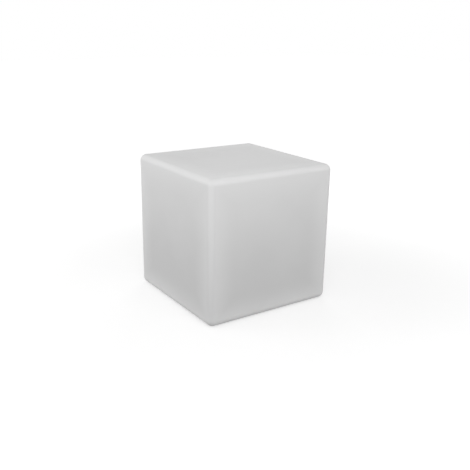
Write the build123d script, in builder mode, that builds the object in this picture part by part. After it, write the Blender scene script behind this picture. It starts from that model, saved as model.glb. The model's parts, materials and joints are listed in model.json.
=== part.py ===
from build123d import *

import os
from math import cos, hypot, radians, sin, sqrt, tan

os.makedirs("parts", exist_ok=True)

# An LED cube light: a frosted, one-piece moulded cube with a sealed, rechargeable light module in its base.
# Millimetres. Origin under the cube's centre on the surface that it stands on, +Z up, front face towards -Y.

# ------------------------------------------------------------------ driving dimensions

# moulded cube
cube_side = 400.0
edge_radius = 18.0
wall = 3.5

# anti-slip pads and their seats in the base
pad_radius = 11.0
pad_thickness = 2.2
pad_seat_depth = 1.0
pad_edge_distance = 42.0
pad_edge = 0.6

# gaps between fitted pieces
seat_gap = 0.05
slide_gap = 0.3
screw_gap = 0.3

# recess in the base that keeps the module off the ground
recess_depth = 15.0
recess_side_gap = 2.5
recess_flare = 3.0
recess_roof_fillet = 2.0
recess_mouth_fillet = 3.0
opening_lip_height = 4.0

# bosses and inserts for the module's screws
flange_screw_count = 6
insert_radius = 4.0
insert_length = 9.0
insert_groove = 0.5
boss_wall = 3.0
boss_cap = 2.5

# battery: two cells side by side
cell_radius = 9.2
cell_length = 65.0
cell_gap = 0.4
cell_lift = 2.0
battery_y = 20.5
tab_thickness = 0.3
tab_width = 7.0

# battery saddles and clamp
saddle_x = 20.0
saddle_thickness = 2.0
saddle_height = 5.0
end_stop_thickness = 2.0
end_stop_height = 6.0
end_stop_gap = 0.3
clamp_width = 10.0
clamp_thickness = 2.2
clamp_foot_thickness = 3.0
clamp_post_radius = 3.0
clamp_post_gap = 0.4

# control board
board_length = 70.0
board_width = 33.0
board_thickness = 1.6
board_height = 12.0
board_gap = 1.5
board_corner = 2.0
board_post_radius = 3.0
board_post_inset = 4.0
gusset_reach = 4.0
gusset_height = 8.0
gusset_thickness = 1.4

# housing can
can_wall = 2.5
can_height = 32.0
can_post_radius = 3.8
can_post_count = 4
can_side_gap = 1.4
can_post_sink = 0.8
deck_thickness = 2.5
deck_hole_radius = 8.0
can_seal_thickness = 1.0

# base plate
plate_thickness = 3.5
plate_edge_fillet = 1.2
opening_gap = 3.0
flange_width = 16.0
gasket_thickness = 2.0
gasket_margin = 1.0
counterbore_depth = 1.2
spigot_thickness = 1.9
spigot_height = 3.0
spigot_gap = 0.3

# screws: shank radius, length, head radius and head height
flange_screw_radius = 2.0
flange_screw_length = 12.0
flange_head_radius = 3.9
flange_head_height = 2.4
small_screw_radius = 1.25
small_screw_length = 8.0
small_head_radius = 2.6
small_head_height = 1.6
can_screw_length = 12.0
head_edge = 0.4

# power button and its switch
button_x = -18.0
button_radius = 6.0
button_proud = 1.2
button_travel = 1.0
button_flange_width = 1.4
button_flange_thickness = 1.5
button_dish = 0.4
stem_radius = 2.0
guide_wall = 1.9
guide_height = 5.8
retainer_thickness = 1.5
retainer_skirt = 1.4
retainer_skirt_height = 3.0
spring_radius = 4.4
spring_wire = 0.3
spring_turns = 4
spring_wire_side_count = 8
plunger_radius = 1.4
plunger_standoff = 0.5
plunger_length = 2.4
switch_side = 6.2
switch_height = 2.8

# charge lamp and light pipe
pipe_x = -2.0
pipe_radius = 1.5
pipe_flange_radius = 2.6
pipe_flange_thickness = 1.2
charge_lamp_length = 3.0
charge_lamp_width = 1.6
charge_lamp_height = 1.0
lamp_air_gap = 0.4

# charging jack: a 5.5 mm barrel round a 2 mm pin
jack_x = 16.0
jack_hole_radius = 5.5
jack_side = 10.0
jack_depth = 14.0
jack_bore_radius = 2.9
jack_bore_depth = 9.5
jack_pin_radius = 1.0
jack_pin_root_radius = 1.5
jack_pin_setback = 0.5

# port plug and its strap
plug_gap = 0.3
plug_cap_radius = 8.0
plug_cap_thickness = 2.0
plug_cap_edge = 0.6
stub_length = 2.6
stub_taper = 0.4
strap_reach = 14.0
strap_width = 4.0
strap_thickness = 1.0
hinge_gap = 0.4
tab_reach = 4.0
tab_half_width = 3.0
anchor_distance = 5.0
anchor_radius = 3.2
anchor_post_radius = 1.4
barb_radius = 2.3
barb_height = 1.5

# lamps
spreader_margin = 12.0
spreader_thickness = 2.0
lamp_board_thickness = 1.6
bowl_gap = 4.0
lamp_edge = 1.0
led_side = 5.0
led_height = 1.6
outer_led_count = 16
outer_led_radius = 36.0
inner_led_count = 8
inner_led_radius = 18.0
lamp_screw_count = 4
lamp_screw_circle = 28.0
receiver_width = 6.0
receiver_depth = 5.0
receiver_height = 7.0
receiver_eye_radius = 2.2
lamp_connector_length = 9.0
lamp_connector_width = 6.0
lamp_connector_height = 3.5

# diffuser dome
dome_rise = 24.0
dome_thickness = 2.0
dome_flange_thickness = 2.5
dome_rim_gap = 0.5
dome_screw_count = 4
dome_boss_length = 8.0
dome_seal_width = 1.4
dome_seal_depth = 1.4
dome_seal_clearance = 0.5

# components on the board
chip_height = 1.2
controller_side = 7.0
driver_side = 4.0
driver_pitch = 7.0
inductor_radius = 4.0
inductor_height = 4.0
inductor_x = 14.0
capacitor_radius = 3.2
capacitor_height = 8.0
capacitor_x = 24.0
capacitor_pitch = 9.6
header_length = 9.0
header_width = 6.0
header_height = 6.0
header_inset = 7.0
battery_header_x = 0.0
lamp_header_x = -16.0

# leads: how far they run from the cells' tabs, round the turn and in to the header
lead_bend_share = 0.45
battery_lead_radius = 0.9
lead_weld_reach = 6.0
lead_straight_reach = 20.0
lead_turn_reach = 27.0
lead_turn_in = 4.0
lead_turn_rise = 6.0
plus_loop_x = 20.0
minus_loop_x = 23.0
lead_loop_gap = 6.6
lead_loop_rise = 1.5
lead_gather_x = 9.0
lead_gather_gap = 6.4
lead_gather_rise = 1.0
lead_entry_gap = 5.5
lead_contact_x = 2.0
lamp_lead_radius = 1.8
lamp_lead_rise = 6.0
lamp_lead_sink = 6.0
lamp_lead_drop = 7.0
lamp_lead_side = 1.0

# ------------------------------------------------------------------ levels and circles that follow from them

stand = pad_thickness - pad_seat_depth
ledge_z = stand + recess_depth
plate_top = ledge_z - gasket_thickness
plate_bottom = plate_top - plate_thickness
plate_counterbore_z = plate_bottom + counterbore_depth

cell_pitch = 2 * cell_radius + cell_gap
cell_z = plate_top + cell_lift + cell_radius
clamp_post_offset = cell_pitch / 2 + cell_radius + clamp_post_gap + clamp_post_radius
clamp_post_top = cell_z

board_y = battery_y - clamp_post_offset - clamp_post_radius - board_gap - board_width / 2
board_bottom = plate_top + board_height
board_top = board_bottom + board_thickness

board_reach = hypot(board_length / 2, abs(board_y) + board_width / 2)
battery_reach = hypot(cell_length / 2 + tab_thickness, battery_y + cell_pitch / 2 + cell_radius)
clamp_reach = battery_y + clamp_post_offset + clamp_post_radius + 2 * can_post_radius
can_inner_radius = max(board_reach, battery_reach, clamp_reach) + can_side_gap
can_radius = can_inner_radius + can_wall
can_post_circle = can_inner_radius - can_post_radius + can_post_sink
deck_top = plate_top + can_height
deck_bottom = deck_top - deck_thickness

opening_radius = can_radius + opening_gap
flange_radius = opening_radius + flange_width
flange_screw_circle = (opening_radius + flange_radius) / 2
recess_radius = flange_radius + recess_side_gap
boss_radius = insert_radius + boss_wall
boss_height = insert_length + boss_cap

spreader_radius = can_radius - spreader_margin
lamp_board_radius = spreader_radius - lamp_edge
spreader_top = deck_top + spreader_thickness
lamp_board_top = spreader_top + lamp_board_thickness
dome_flange_radius = can_radius - dome_rim_gap
dome_screw_circle = dome_flange_radius - small_head_radius - dome_rim_gap
bowl_radius = spreader_radius + bowl_gap
bowl_sphere = (bowl_radius**2 + dome_rise**2) / (2 * dome_rise)
bowl_centre_z = deck_top + dome_flange_thickness + dome_rise - bowl_sphere
bowl_foot_radius = sqrt((bowl_sphere - dome_thickness) ** 2 - (deck_top - bowl_centre_z) ** 2)
dome_seal_inner = bowl_foot_radius + dome_seal_clearance

button_face_z = plate_bottom - button_proud
button_flange_z = plate_top + slide_gap
button_flange_top = button_flange_z + button_flange_thickness
button_flange_radius = button_radius + button_flange_width
guide_bore = button_flange_radius + slide_gap
guide_radius = guide_bore + guide_wall
guide_top = plate_top + guide_height
plunger_tip_z = guide_top + retainer_thickness + plunger_standoff
switch_bottom = board_bottom - switch_height

hinge_x = jack_x + strap_reach
hinge_z = plate_bottom - plug_gap - strap_thickness / 2
plug_seat_z = plate_bottom - plug_gap
anchor_x = hinge_x + anchor_distance


# ------------------------------------------------------------------ shared forms


def ring_points(radius, count, start=0.0):
    """Evenly spaced points on a circle about the Z axis."""
    steps = [radians(start + 360 / count * k) for k in range(count)]
    return [(radius * cos(a), radius * sin(a)) for a in steps]


def rounded_cube(skin):
    """The moulded cube's form, drawn in by a skin thickness on every side."""
    with BuildPart() as form:
        with BuildSketch(Plane.XY.offset(stand + skin)):
            Rectangle(cube_side - 2 * skin, cube_side - 2 * skin)
        extrude(amount=cube_side - 2 * skin)
        fillet(form.edges(), edge_radius - skin)
    return form.part


def recess_form(skin, floor_z):
    """The base recess as a solid from floor_z up, grown by a skin thickness."""
    with BuildPart() as form:
        with BuildSketch(Plane.XZ):
            with BuildLine():
                Polyline(
                    (0, floor_z),
                    (recess_radius + recess_flare + skin, floor_z),
                    (recess_radius + skin, ledge_z + skin),
                    (0, ledge_z + skin),
                    close=True,
                )
            make_face()
        revolve(axis=Axis.Z)
        fillet(form.edges().filter_by(GeomType.CIRCLE).group_by(Axis.Z)[-1], recess_roof_fillet + skin)
    return form.part


def pan_screws(places, seat_z, shank_radius, shank_length, head_radius, head_height, upwards):
    """Pan-head screws at the given places: heads on seat_z, shanks running up or down from it."""
    side = 1 if upwards else -1
    with BuildPart() as screws:
        with BuildSketch(Plane.XY.offset(seat_z)):
            with Locations(*places):
                Circle(head_radius)
        extrude(amount=-side * head_height)
        top = screws.edges().filter_by(GeomType.CIRCLE).group_by(Axis.Z)[0 if upwards else -1]
        chamfer(top, head_edge)
        with BuildSketch(Plane.XY.offset(seat_z)):
            with Locations(*places):
                Circle(shank_radius)
        extrude(amount=side * shank_length)
    return screws.part


def bend_radii(points):
    """One radius for each corner of a lead's route: as large as its two runs allow."""
    route = [Vector(*p) for p in points]
    radii = []
    for before, corner, after in zip(route, route[1:], route[2:]):
        run_in = corner - before
        run_out = after - corner
        shorter = min(run_in.length, run_out.length)
        half_turn = radians(run_in.get_angle(run_out)) / 2
        radii.append(lead_bend_share * shorter / tan(half_turn))
    return radii


def lead(points, lead_radius):
    """A round lead along straight runs joined by tangent arcs."""
    radii = bend_radii(points)
    with BuildPart() as tube:
        with BuildLine() as route:
            FilletPolyline(*points, radius=radii)
        with BuildSketch(Plane(origin=route.wire() @ 0, z_dir=route.wire() % 0)):
            Circle(lead_radius)
        sweep(path=route.wire())
    return tube.part


# ------------------------------------------------------------------ moulded cube

flange_screw_places = ring_points(flange_screw_circle, flange_screw_count, 180 / flange_screw_count)
pad_spacing = cube_side - 2 * pad_edge_distance

with BuildPart() as cube_shell:
    add(rounded_cube(0))
    add(rounded_cube(wall), mode=Mode.SUBTRACT)
    # recess: its wall stands up into the cavity, and the module sits against its roof
    add(recess_form(wall, stand))
    add(recess_form(0, stand), mode=Mode.SUBTRACT)
    round_edges = cube_shell.edges().filter_by(GeomType.CIRCLE)
    mouth = round_edges.filter_by_position(Axis.Z, stand - slide_gap, stand + slide_gap)
    fillet(mouth, recess_mouth_fillet)
    # lip round the opening for the light module
    with BuildSketch(Plane.XY.offset(ledge_z)):
        Circle(opening_radius + wall)
    extrude(amount=wall + opening_lip_height)
    with BuildSketch(Plane.XY.offset(ledge_z)):
        Circle(opening_radius)
    extrude(amount=wall + opening_lip_height, mode=Mode.SUBTRACT)
    # bosses moulded round the threaded inserts
    with BuildSketch(Plane.XY.offset(ledge_z)):
        with Locations(*flange_screw_places):
            Circle(boss_radius)
        Circle(opening_radius, mode=Mode.SUBTRACT)
    extrude(amount=boss_height)
    with BuildSketch(Plane.XY.offset(ledge_z)):
        with Locations(*flange_screw_places):
            Circle(insert_radius + seat_gap)
    extrude(amount=insert_length, mode=Mode.SUBTRACT)
    # shallow seats for the pads
    with BuildSketch(Plane.XY.offset(stand)):
        with GridLocations(pad_spacing, pad_spacing, 2, 2):
            Circle(pad_radius + seat_gap)
    extrude(amount=pad_seat_depth, mode=Mode.SUBTRACT)

cube_shell.part.label = "cube_shell"
export_step(cube_shell.part, "parts/cube_shell.step")

with BuildPart() as threaded_inserts:
    with BuildSketch(Plane.XY.offset(ledge_z)):
        with Locations(*flange_screw_places):
            Circle(insert_radius)
            Circle(flange_screw_radius + seat_gap, mode=Mode.SUBTRACT)
    extrude(amount=insert_length)
    # groove that keys the insert into the plastic
    with BuildSketch(Plane.XY.offset(ledge_z + insert_length / 3)):
        with Locations(*flange_screw_places):
            Circle(insert_radius)
            Circle(insert_radius - insert_groove, mode=Mode.SUBTRACT)
    extrude(amount=insert_length / 3, mode=Mode.SUBTRACT)

threaded_inserts.part.label = "threaded_inserts"
export_step(threaded_inserts.part, "parts/threaded_inserts.step")

with BuildPart() as foot_pads:
    with BuildSketch(Plane.XY):
        with GridLocations(pad_spacing, pad_spacing, 2, 2):
            Circle(pad_radius)
    extrude(amount=pad_thickness)
    chamfer(foot_pads.edges().filter_by(GeomType.CIRCLE).group_by(Axis.Z)[0], pad_edge)

foot_pads.part.label = "foot_pads"
export_step(foot_pads.part, "parts/foot_pads.step")

# ------------------------------------------------------------------ base plate

can_screw_places = ring_points(can_post_circle, can_post_count)
board_post_x = board_length / 2 - board_post_inset
board_post_y = board_width / 2 - board_post_inset
board_post_places = [(sx * board_post_x, board_y + sy * board_post_y) for sx in (-1, 1) for sy in (-1, 1)]
clamp_post_places = [(0, battery_y + s * clamp_post_offset) for s in (-1, 1)]
cell_centres = [battery_y - cell_pitch / 2, battery_y + cell_pitch / 2]
end_stop_x = cell_length / 2 + tab_thickness + end_stop_gap

# The plate is the most skilful moulding of the part: one floor that seals the cube from below and carries
# the battery's saddles, the board's gusseted posts, the sprung key's guide, the light pipe's sleeve and the
# charging socket's mouth, each set from the piece it holds.
with BuildPart() as base_plate:
    with BuildSketch(Plane.XY.offset(plate_bottom)):
        Circle(flange_radius)
    extrude(amount=plate_thickness)
    rim = base_plate.edges().filter_by(GeomType.CIRCLE)
    fillet(rim.group_by(Axis.Z)[0], plate_edge_fillet)
    # spigot ring that centres the can, open at the can's posts
    with BuildSketch(Plane.XY.offset(plate_top)):
        Circle(can_inner_radius - spigot_gap)
        Circle(can_inner_radius - spigot_gap - spigot_thickness, mode=Mode.SUBTRACT)
        with Locations(*can_screw_places):
            Circle(can_post_radius + spigot_gap, mode=Mode.SUBTRACT)
    extrude(amount=spigot_height)
    # groove for the seal under the can's rim
    with BuildSketch(Plane.XY.offset(plate_top)):
        Circle(can_radius + seat_gap)
        Circle(can_inner_radius - seat_gap, mode=Mode.SUBTRACT)
    extrude(amount=-can_seal_thickness, mode=Mode.SUBTRACT)
    # posts for the control board and the battery clamp, with pilot holes
    with BuildSketch(Plane.XY.offset(plate_top)):
        with Locations(*board_post_places):
            Circle(board_post_radius)
    extrude(amount=board_height)
    with BuildSketch(Plane.XY.offset(plate_top)):
        with Locations(*clamp_post_places):
            Circle(clamp_post_radius)
    extrude(amount=clamp_post_top - plate_top)
    with BuildSketch(Plane.XY.offset(clamp_post_top)):
        with Locations(*clamp_post_places):
            Circle(small_screw_radius + seat_gap)
    extrude(amount=-small_screw_length, mode=Mode.SUBTRACT)
    # gussets that stiffen the board's posts, towards the middle of the plate
    for x, y in board_post_places:
        inward = -1 if x > 0 else 1
        with BuildSketch(Plane.XZ.offset(-y - gusset_thickness / 2)):
            with BuildLine():
                Polyline(
                    (x, plate_top),
                    (x + inward * (board_post_radius + gusset_reach), plate_top),
                    (x, plate_top + gusset_height),
                    close=True,
                )
            make_face()
        extrude(amount=gusset_thickness)
    with BuildSketch(Plane.XY.offset(board_bottom)):
        with Locations(*board_post_places):
            Circle(small_screw_radius + seat_gap)
    extrude(amount=-small_screw_length, mode=Mode.SUBTRACT)
    # saddles that carry the cells
    for side in (-1, 1):
        with BuildSketch(Plane.YZ.offset(side * saddle_x - saddle_thickness / 2)):
            with Locations((battery_y, plate_top + (cell_lift + saddle_height) / 2)):
                Rectangle(cell_pitch + 2 * cell_radius, cell_lift + saddle_height)
            with Locations(*[(y, cell_z) for y in cell_centres]):
                Circle(cell_radius + seat_gap, mode=Mode.SUBTRACT)
        extrude(amount=saddle_thickness)
    # low stops past the cells' ends
    with BuildSketch(Plane.XY.offset(plate_top)):
        for side in (-1, 1):
            with Locations((side * (end_stop_x + end_stop_thickness / 2), battery_y)):
                Rectangle(end_stop_thickness, 2 * cell_radius)
    extrude(amount=end_stop_height)
    # guide for the power button
    with BuildSketch(Plane.XY.offset(plate_top)):
        with Locations((button_x, board_y)):
            Circle(guide_radius)
            Circle(guide_bore, mode=Mode.SUBTRACT)
    extrude(amount=guide_height)
    # openings for the button, the light pipe, the charging jack and the strap's anchor
    with BuildSketch(Plane.XY.offset(plate_bottom)):
        with Locations((button_x, board_y)):
            Circle(button_radius + slide_gap)
        with Locations((pipe_x, board_y)):
            Circle(pipe_radius + seat_gap)
        with Locations((jack_x, board_y)):
            Circle(jack_hole_radius)
        with Locations((anchor_x, board_y)):
            Circle(anchor_post_radius + seat_gap)
    extrude(amount=plate_thickness, mode=Mode.SUBTRACT)
    # screw holes, sunk so that the heads stay off the ground
    with Locations(*[(x, y, plate_bottom) for x, y in flange_screw_places]):
        with Locations(Rotation(180, 0, 0)):
            CounterBoreHole(
                radius=flange_screw_radius + screw_gap,
                counter_bore_radius=flange_head_radius + screw_gap,
                counter_bore_depth=counterbore_depth,
                depth=plate_thickness,
            )
    with Locations(*[(x, y, plate_bottom) for x, y in can_screw_places]):
        with Locations(Rotation(180, 0, 0)):
            CounterBoreHole(
                radius=small_screw_radius + screw_gap,
                counter_bore_radius=small_head_radius + screw_gap,
                counter_bore_depth=counterbore_depth,
                depth=plate_thickness,
            )

base_plate.part.label = "base_plate"
export_step(base_plate.part, "parts/base_plate.step")

with BuildPart() as flange_gasket:
    with BuildSketch(Plane.XY.offset(plate_top)):
        Circle(flange_radius - gasket_margin)
        Circle(opening_radius + gasket_margin, mode=Mode.SUBTRACT)
        with Locations(*flange_screw_places):
            Circle(flange_screw_radius + screw_gap, mode=Mode.SUBTRACT)
    extrude(amount=gasket_thickness)

flange_gasket.part.label = "flange_gasket"
export_step(flange_gasket.part, "parts/flange_gasket.step")

with BuildPart() as flange_screws:
    add(
        pan_screws(
            flange_screw_places,
            plate_counterbore_z,
            flange_screw_radius,
            flange_screw_length,
            flange_head_radius,
            flange_head_height,
            upwards=True,
        )
    )

flange_screws.part.label = "flange_screws"
export_step(flange_screws.part, "parts/flange_screws.step")

# ------------------------------------------------------------------ housing can

dome_screw_places = ring_points(dome_screw_circle, dome_screw_count, 45)
lamp_screw_places = ring_points(lamp_screw_circle, lamp_screw_count, 45)

with BuildPart() as housing_can:
    with BuildSketch(Plane.XY.offset(plate_top)):
        Circle(can_radius)
    extrude(amount=can_height)
    with BuildSketch(Plane.XY.offset(plate_top)):
        Circle(can_inner_radius)
    extrude(amount=can_height - deck_thickness, mode=Mode.SUBTRACT)
    # posts for the screws that come up through the plate
    with BuildSketch(Plane.XY.offset(plate_top)):
        with Locations(*can_screw_places):
            Circle(can_post_radius)
    extrude(amount=can_height - deck_thickness)
    # short bosses under the deck for the dome's screws and the lamp board's screws
    with BuildSketch(Plane.XY.offset(deck_bottom)):
        with Locations(*dome_screw_places):
            Circle(small_head_radius)
        with Locations(*lamp_screw_places):
            Circle(small_head_radius)
        Circle(can_radius, mode=Mode.INTERSECT)
    extrude(amount=-(dome_boss_length - deck_thickness))
    with BuildSketch(Plane.XY.offset(plate_top)):
        with Locations(*can_screw_places):
            Circle(small_screw_radius + seat_gap)
    extrude(amount=can_screw_length, mode=Mode.SUBTRACT)
    with BuildSketch(Plane.XY.offset(deck_top)):
        with Locations(*dome_screw_places):
            Circle(small_screw_radius + seat_gap)
        with Locations(*lamp_screw_places):
            Circle(small_screw_radius + seat_gap)
    extrude(amount=-dome_boss_length, mode=Mode.SUBTRACT)
    # way up for the lamp lead
    with BuildSketch(Plane.XY.offset(deck_top)):
        Circle(deck_hole_radius)
    extrude(amount=-deck_thickness, mode=Mode.SUBTRACT)
    # groove for the dome's seal
    with BuildSketch(Plane.XY.offset(deck_top)):
        Circle(dome_seal_inner + dome_seal_width + seat_gap)
        Circle(dome_seal_inner - seat_gap, mode=Mode.SUBTRACT)
    extrude(amount=-dome_seal_depth, mode=Mode.SUBTRACT)

housing_can.part.label = "housing_can"
export_step(housing_can.part, "parts/housing_can.step")

with BuildPart() as can_seal:
    with BuildSketch(Plane.XY.offset(plate_top - can_seal_thickness)):
        Circle(can_radius)
        Circle(can_inner_radius, mode=Mode.SUBTRACT)
    extrude(amount=can_seal_thickness)

can_seal.part.label = "can_seal"
export_step(can_seal.part, "parts/can_seal.step")

with BuildPart() as can_screws:
    add(
        pan_screws(
            can_screw_places,
            plate_counterbore_z,
            small_screw_radius,
            can_screw_length,
            small_head_radius,
            small_head_height,
            upwards=True,
        )
    )

can_screws.part.label = "can_screws"
export_step(can_screws.part, "parts/can_screws.step")

# ------------------------------------------------------------------ power button and switch

with BuildPart() as power_button:
    with BuildSketch(Plane.XY.offset(button_face_z)):
        with Locations((button_x, board_y)):
            Circle(button_radius)
    extrude(amount=button_flange_z - button_face_z)
    fillet(power_button.edges().filter_by(GeomType.CIRCLE).group_by(Axis.Z)[0], button_dish)
    with BuildSketch(Plane.XY.offset(button_flange_z)):
        with Locations((button_x, board_y)):
            Circle(button_flange_radius)
    extrude(amount=button_flange_thickness)
    with BuildSketch(Plane.XY.offset(button_flange_top)):
        with Locations((button_x, board_y)):
            Circle(stem_radius)
    extrude(amount=plunger_tip_z - button_flange_top)
    # shallow finger dish in the face
    with BuildSketch(Plane.XY.offset(button_face_z)):
        with Locations((button_x, board_y)):
            Circle(button_radius - 2 * button_dish)
    extrude(amount=button_dish, taper=45, mode=Mode.SUBTRACT)

power_button.part.label = "power_button"
export_step(power_button.part, "parts/power_button.step")

spring_foot = button_flange_top + seat_gap + spring_wire
spring_head = guide_top - seat_gap - spring_wire

with BuildPart() as button_spring:
    with BuildLine() as coil:
        Helix(
            pitch=(spring_head - spring_foot) / spring_turns,
            height=spring_head - spring_foot,
            radius=spring_radius,
            center=(button_x, board_y, spring_foot),
        )
    with BuildSketch(Plane(origin=coil.line @ 0, z_dir=coil.line % 0)):
        RegularPolygon(spring_wire, spring_wire_side_count)
    sweep(path=coil.line, is_frenet=True)

button_spring.part.label = "button_spring"
export_step(button_spring.part, "parts/button_spring.step")

with BuildPart() as button_retainer:
    with BuildSketch(Plane.XY.offset(guide_top - retainer_skirt_height)):
        with Locations((button_x, board_y)):
            Circle(guide_radius + retainer_skirt)
    extrude(amount=retainer_skirt_height + retainer_thickness)
    chamfer(button_retainer.edges().filter_by(GeomType.CIRCLE).group_by(Axis.Z)[-1], head_edge)
    with BuildSketch(Plane.XY.offset(guide_top - retainer_skirt_height)):
        with Locations((button_x, board_y)):
            Circle(guide_radius + seat_gap)
    extrude(amount=retainer_skirt_height, mode=Mode.SUBTRACT)
    with BuildSketch(Plane.XY.offset(guide_top)):
        with Locations((button_x, board_y)):
            Circle(stem_radius + slide_gap)
    extrude(amount=retainer_thickness, mode=Mode.SUBTRACT)

button_retainer.part.label = "button_retainer"
export_step(button_retainer.part, "parts/button_retainer.step")

with BuildPart() as switch_plunger:
    with BuildSketch(Plane.XY.offset(plunger_tip_z)):
        with Locations((button_x, board_y)):
            Circle(plunger_radius)
    extrude(amount=plunger_length)

switch_plunger.part.label = "switch_plunger"
export_step(switch_plunger.part, "parts/switch_plunger.step")

with BuildPart() as tact_switch:
    with BuildSketch(Plane.XY.offset(switch_bottom)):
        with Locations((button_x, board_y)):
            Rectangle(switch_side, switch_side)
    extrude(amount=switch_height)
    chamfer(tact_switch.edges().filter_by(Axis.Z), head_edge)
    with BuildSketch(Plane.XY.offset(switch_bottom)):
        with Locations((button_x, board_y)):
            Circle(plunger_radius + slide_gap)
    plunger_sink = plunger_tip_z + plunger_length + button_travel + slide_gap - switch_bottom
    extrude(amount=plunger_sink, mode=Mode.SUBTRACT)

tact_switch.part.label = "tact_switch"
export_step(tact_switch.part, "parts/tact_switch.step")

# ------------------------------------------------------------------ charge lamp

charge_lamp_bottom = board_bottom - charge_lamp_height

with BuildPart() as light_pipe:
    with BuildSketch(Plane.XY.offset(plate_bottom)):
        with Locations((pipe_x, board_y)):
            Circle(pipe_radius)
    extrude(amount=charge_lamp_bottom - lamp_air_gap - plate_bottom)
    with BuildSketch(Plane.XY.offset(plate_top)):
        with Locations((pipe_x, board_y)):
            Circle(pipe_flange_radius)
    extrude(amount=pipe_flange_thickness)

light_pipe.part.label = "light_pipe"
export_step(light_pipe.part, "parts/light_pipe.step")

with BuildPart() as charge_lamp:
    with BuildSketch(Plane.XY.offset(charge_lamp_bottom)):
        with Locations((pipe_x, board_y)):
            Rectangle(charge_lamp_length, charge_lamp_width)
    extrude(amount=charge_lamp_height)

charge_lamp.part.label = "charge_lamp"
export_step(charge_lamp.part, "parts/charge_lamp.step")

# ------------------------------------------------------------------ control board and what it carries

header_y = board_y + board_width / 2 - header_width / 2 - header_inset

with BuildPart() as control_board:
    with BuildSketch(Plane.XY.offset(board_bottom)):
        with Locations((0, board_y)):
            RectangleRounded(board_length, board_width, board_corner)
        with Locations(*board_post_places):
            Circle(small_screw_radius + screw_gap, mode=Mode.SUBTRACT)
    extrude(amount=board_thickness)

control_board.part.label = "control_board"
export_step(control_board.part, "parts/control_board.step")

with BuildPart() as board_screws:
    add(
        pan_screws(
            board_post_places,
            board_top,
            small_screw_radius,
            small_screw_length,
            small_head_radius,
            small_head_height,
            upwards=False,
        )
    )

board_screws.part.label = "board_screws"
export_step(board_screws.part, "parts/board_screws.step")

with BuildPart() as board_chips:
    with BuildSketch(Plane.XY.offset(board_top)):
        with Locations((0, board_y - driver_pitch)):
            Rectangle(controller_side, controller_side)
        with Locations((lamp_header_x, board_y - driver_pitch)):
            with GridLocations(driver_pitch, driver_pitch, 2, 2):
                Rectangle(driver_side, driver_side)
    extrude(amount=chip_height)

board_chips.part.label = "board_chips"
export_step(board_chips.part, "parts/board_chips.step")

with BuildPart() as power_inductor:
    with BuildSketch(Plane.XY.offset(board_top)):
        with Locations((inductor_x, board_y - driver_pitch)):
            RectangleRounded(2 * inductor_radius, 2 * inductor_radius, inductor_radius / 2)
    extrude(amount=inductor_height)
    chamfer(power_inductor.faces().sort_by(Axis.Z)[-1].edges(), head_edge)

power_inductor.part.label = "power_inductor"
export_step(power_inductor.part, "parts/power_inductor.step")

with BuildPart() as filter_capacitors:
    with BuildSketch(Plane.XY.offset(board_top)):
        with Locations((capacitor_x, board_y)):
            with GridLocations(0, capacitor_pitch, 1, 2):
                Circle(capacitor_radius)
    extrude(amount=capacitor_height)
    chamfer(filter_capacitors.edges().filter_by(GeomType.CIRCLE).group_by(Axis.Z)[-1], head_edge)

filter_capacitors.part.label = "filter_capacitors"
export_step(filter_capacitors.part, "parts/filter_capacitors.step")

with BuildPart() as board_headers:
    with BuildSketch(Plane.XY.offset(board_top)):
        with Locations((battery_header_x, header_y), (lamp_header_x, header_y)):
            Rectangle(header_length, header_width)
    extrude(amount=header_height)
    chamfer(board_headers.edges().filter_by(Axis.Z), head_edge)

board_headers.part.label = "board_headers"
export_step(board_headers.part, "parts/board_headers.step")

# ------------------------------------------------------------------ charging jack and port plug

jack_mouth_z = plate_top + slide_gap
jack_floor_z = jack_mouth_z + jack_bore_depth
jack_pin_root_depth = (board_bottom - jack_floor_z) / 2

with BuildPart() as jack_body:
    with BuildSketch(Plane.XY.offset(jack_mouth_z)):
        with Locations((jack_x, board_y)):
            Rectangle(jack_side, jack_depth)
    extrude(amount=board_bottom - jack_mouth_z)
    chamfer(jack_body.edges().filter_by(Axis.Z), head_edge)
    with BuildSketch(Plane.XY.offset(jack_mouth_z)):
        with Locations((jack_x, board_y)):
            Circle(jack_bore_radius)
    extrude(amount=jack_bore_depth, mode=Mode.SUBTRACT)
    # blind socket that holds the centre pin's root
    with BuildSketch(Plane.XY.offset(jack_floor_z)):
        with Locations((jack_x, board_y)):
            Circle(jack_pin_root_radius + seat_gap)
    extrude(amount=jack_pin_root_depth, mode=Mode.SUBTRACT)

jack_body.part.label = "jack_body"
export_step(jack_body.part, "parts/jack_body.step")

with BuildPart() as jack_pin:
    with BuildSketch(Plane.XY.offset(jack_mouth_z + jack_pin_setback)):
        with Locations((jack_x, board_y)):
            Circle(jack_pin_radius)
    extrude(amount=jack_bore_depth - jack_pin_setback)
    chamfer(jack_pin.edges().filter_by(GeomType.CIRCLE).group_by(Axis.Z)[0], jack_pin_radius / 4)
    # shouldered root in its blind socket
    with BuildSketch(Plane.XY.offset(jack_floor_z)):
        with Locations((jack_x, board_y)):
            Circle(jack_pin_root_radius)
    extrude(amount=jack_pin_root_depth)

jack_pin.part.label = "jack_pin"
export_step(jack_pin.part, "parts/jack_pin.step")

stub_radius = jack_hole_radius - slide_gap
tab_tip_x = jack_x - plug_cap_radius - tab_reach
tab_shoulder_x = tab_tip_x + tab_reach / 2
tab_front_y = board_y - tab_half_width
tab_back_y = board_y + tab_half_width

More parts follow.
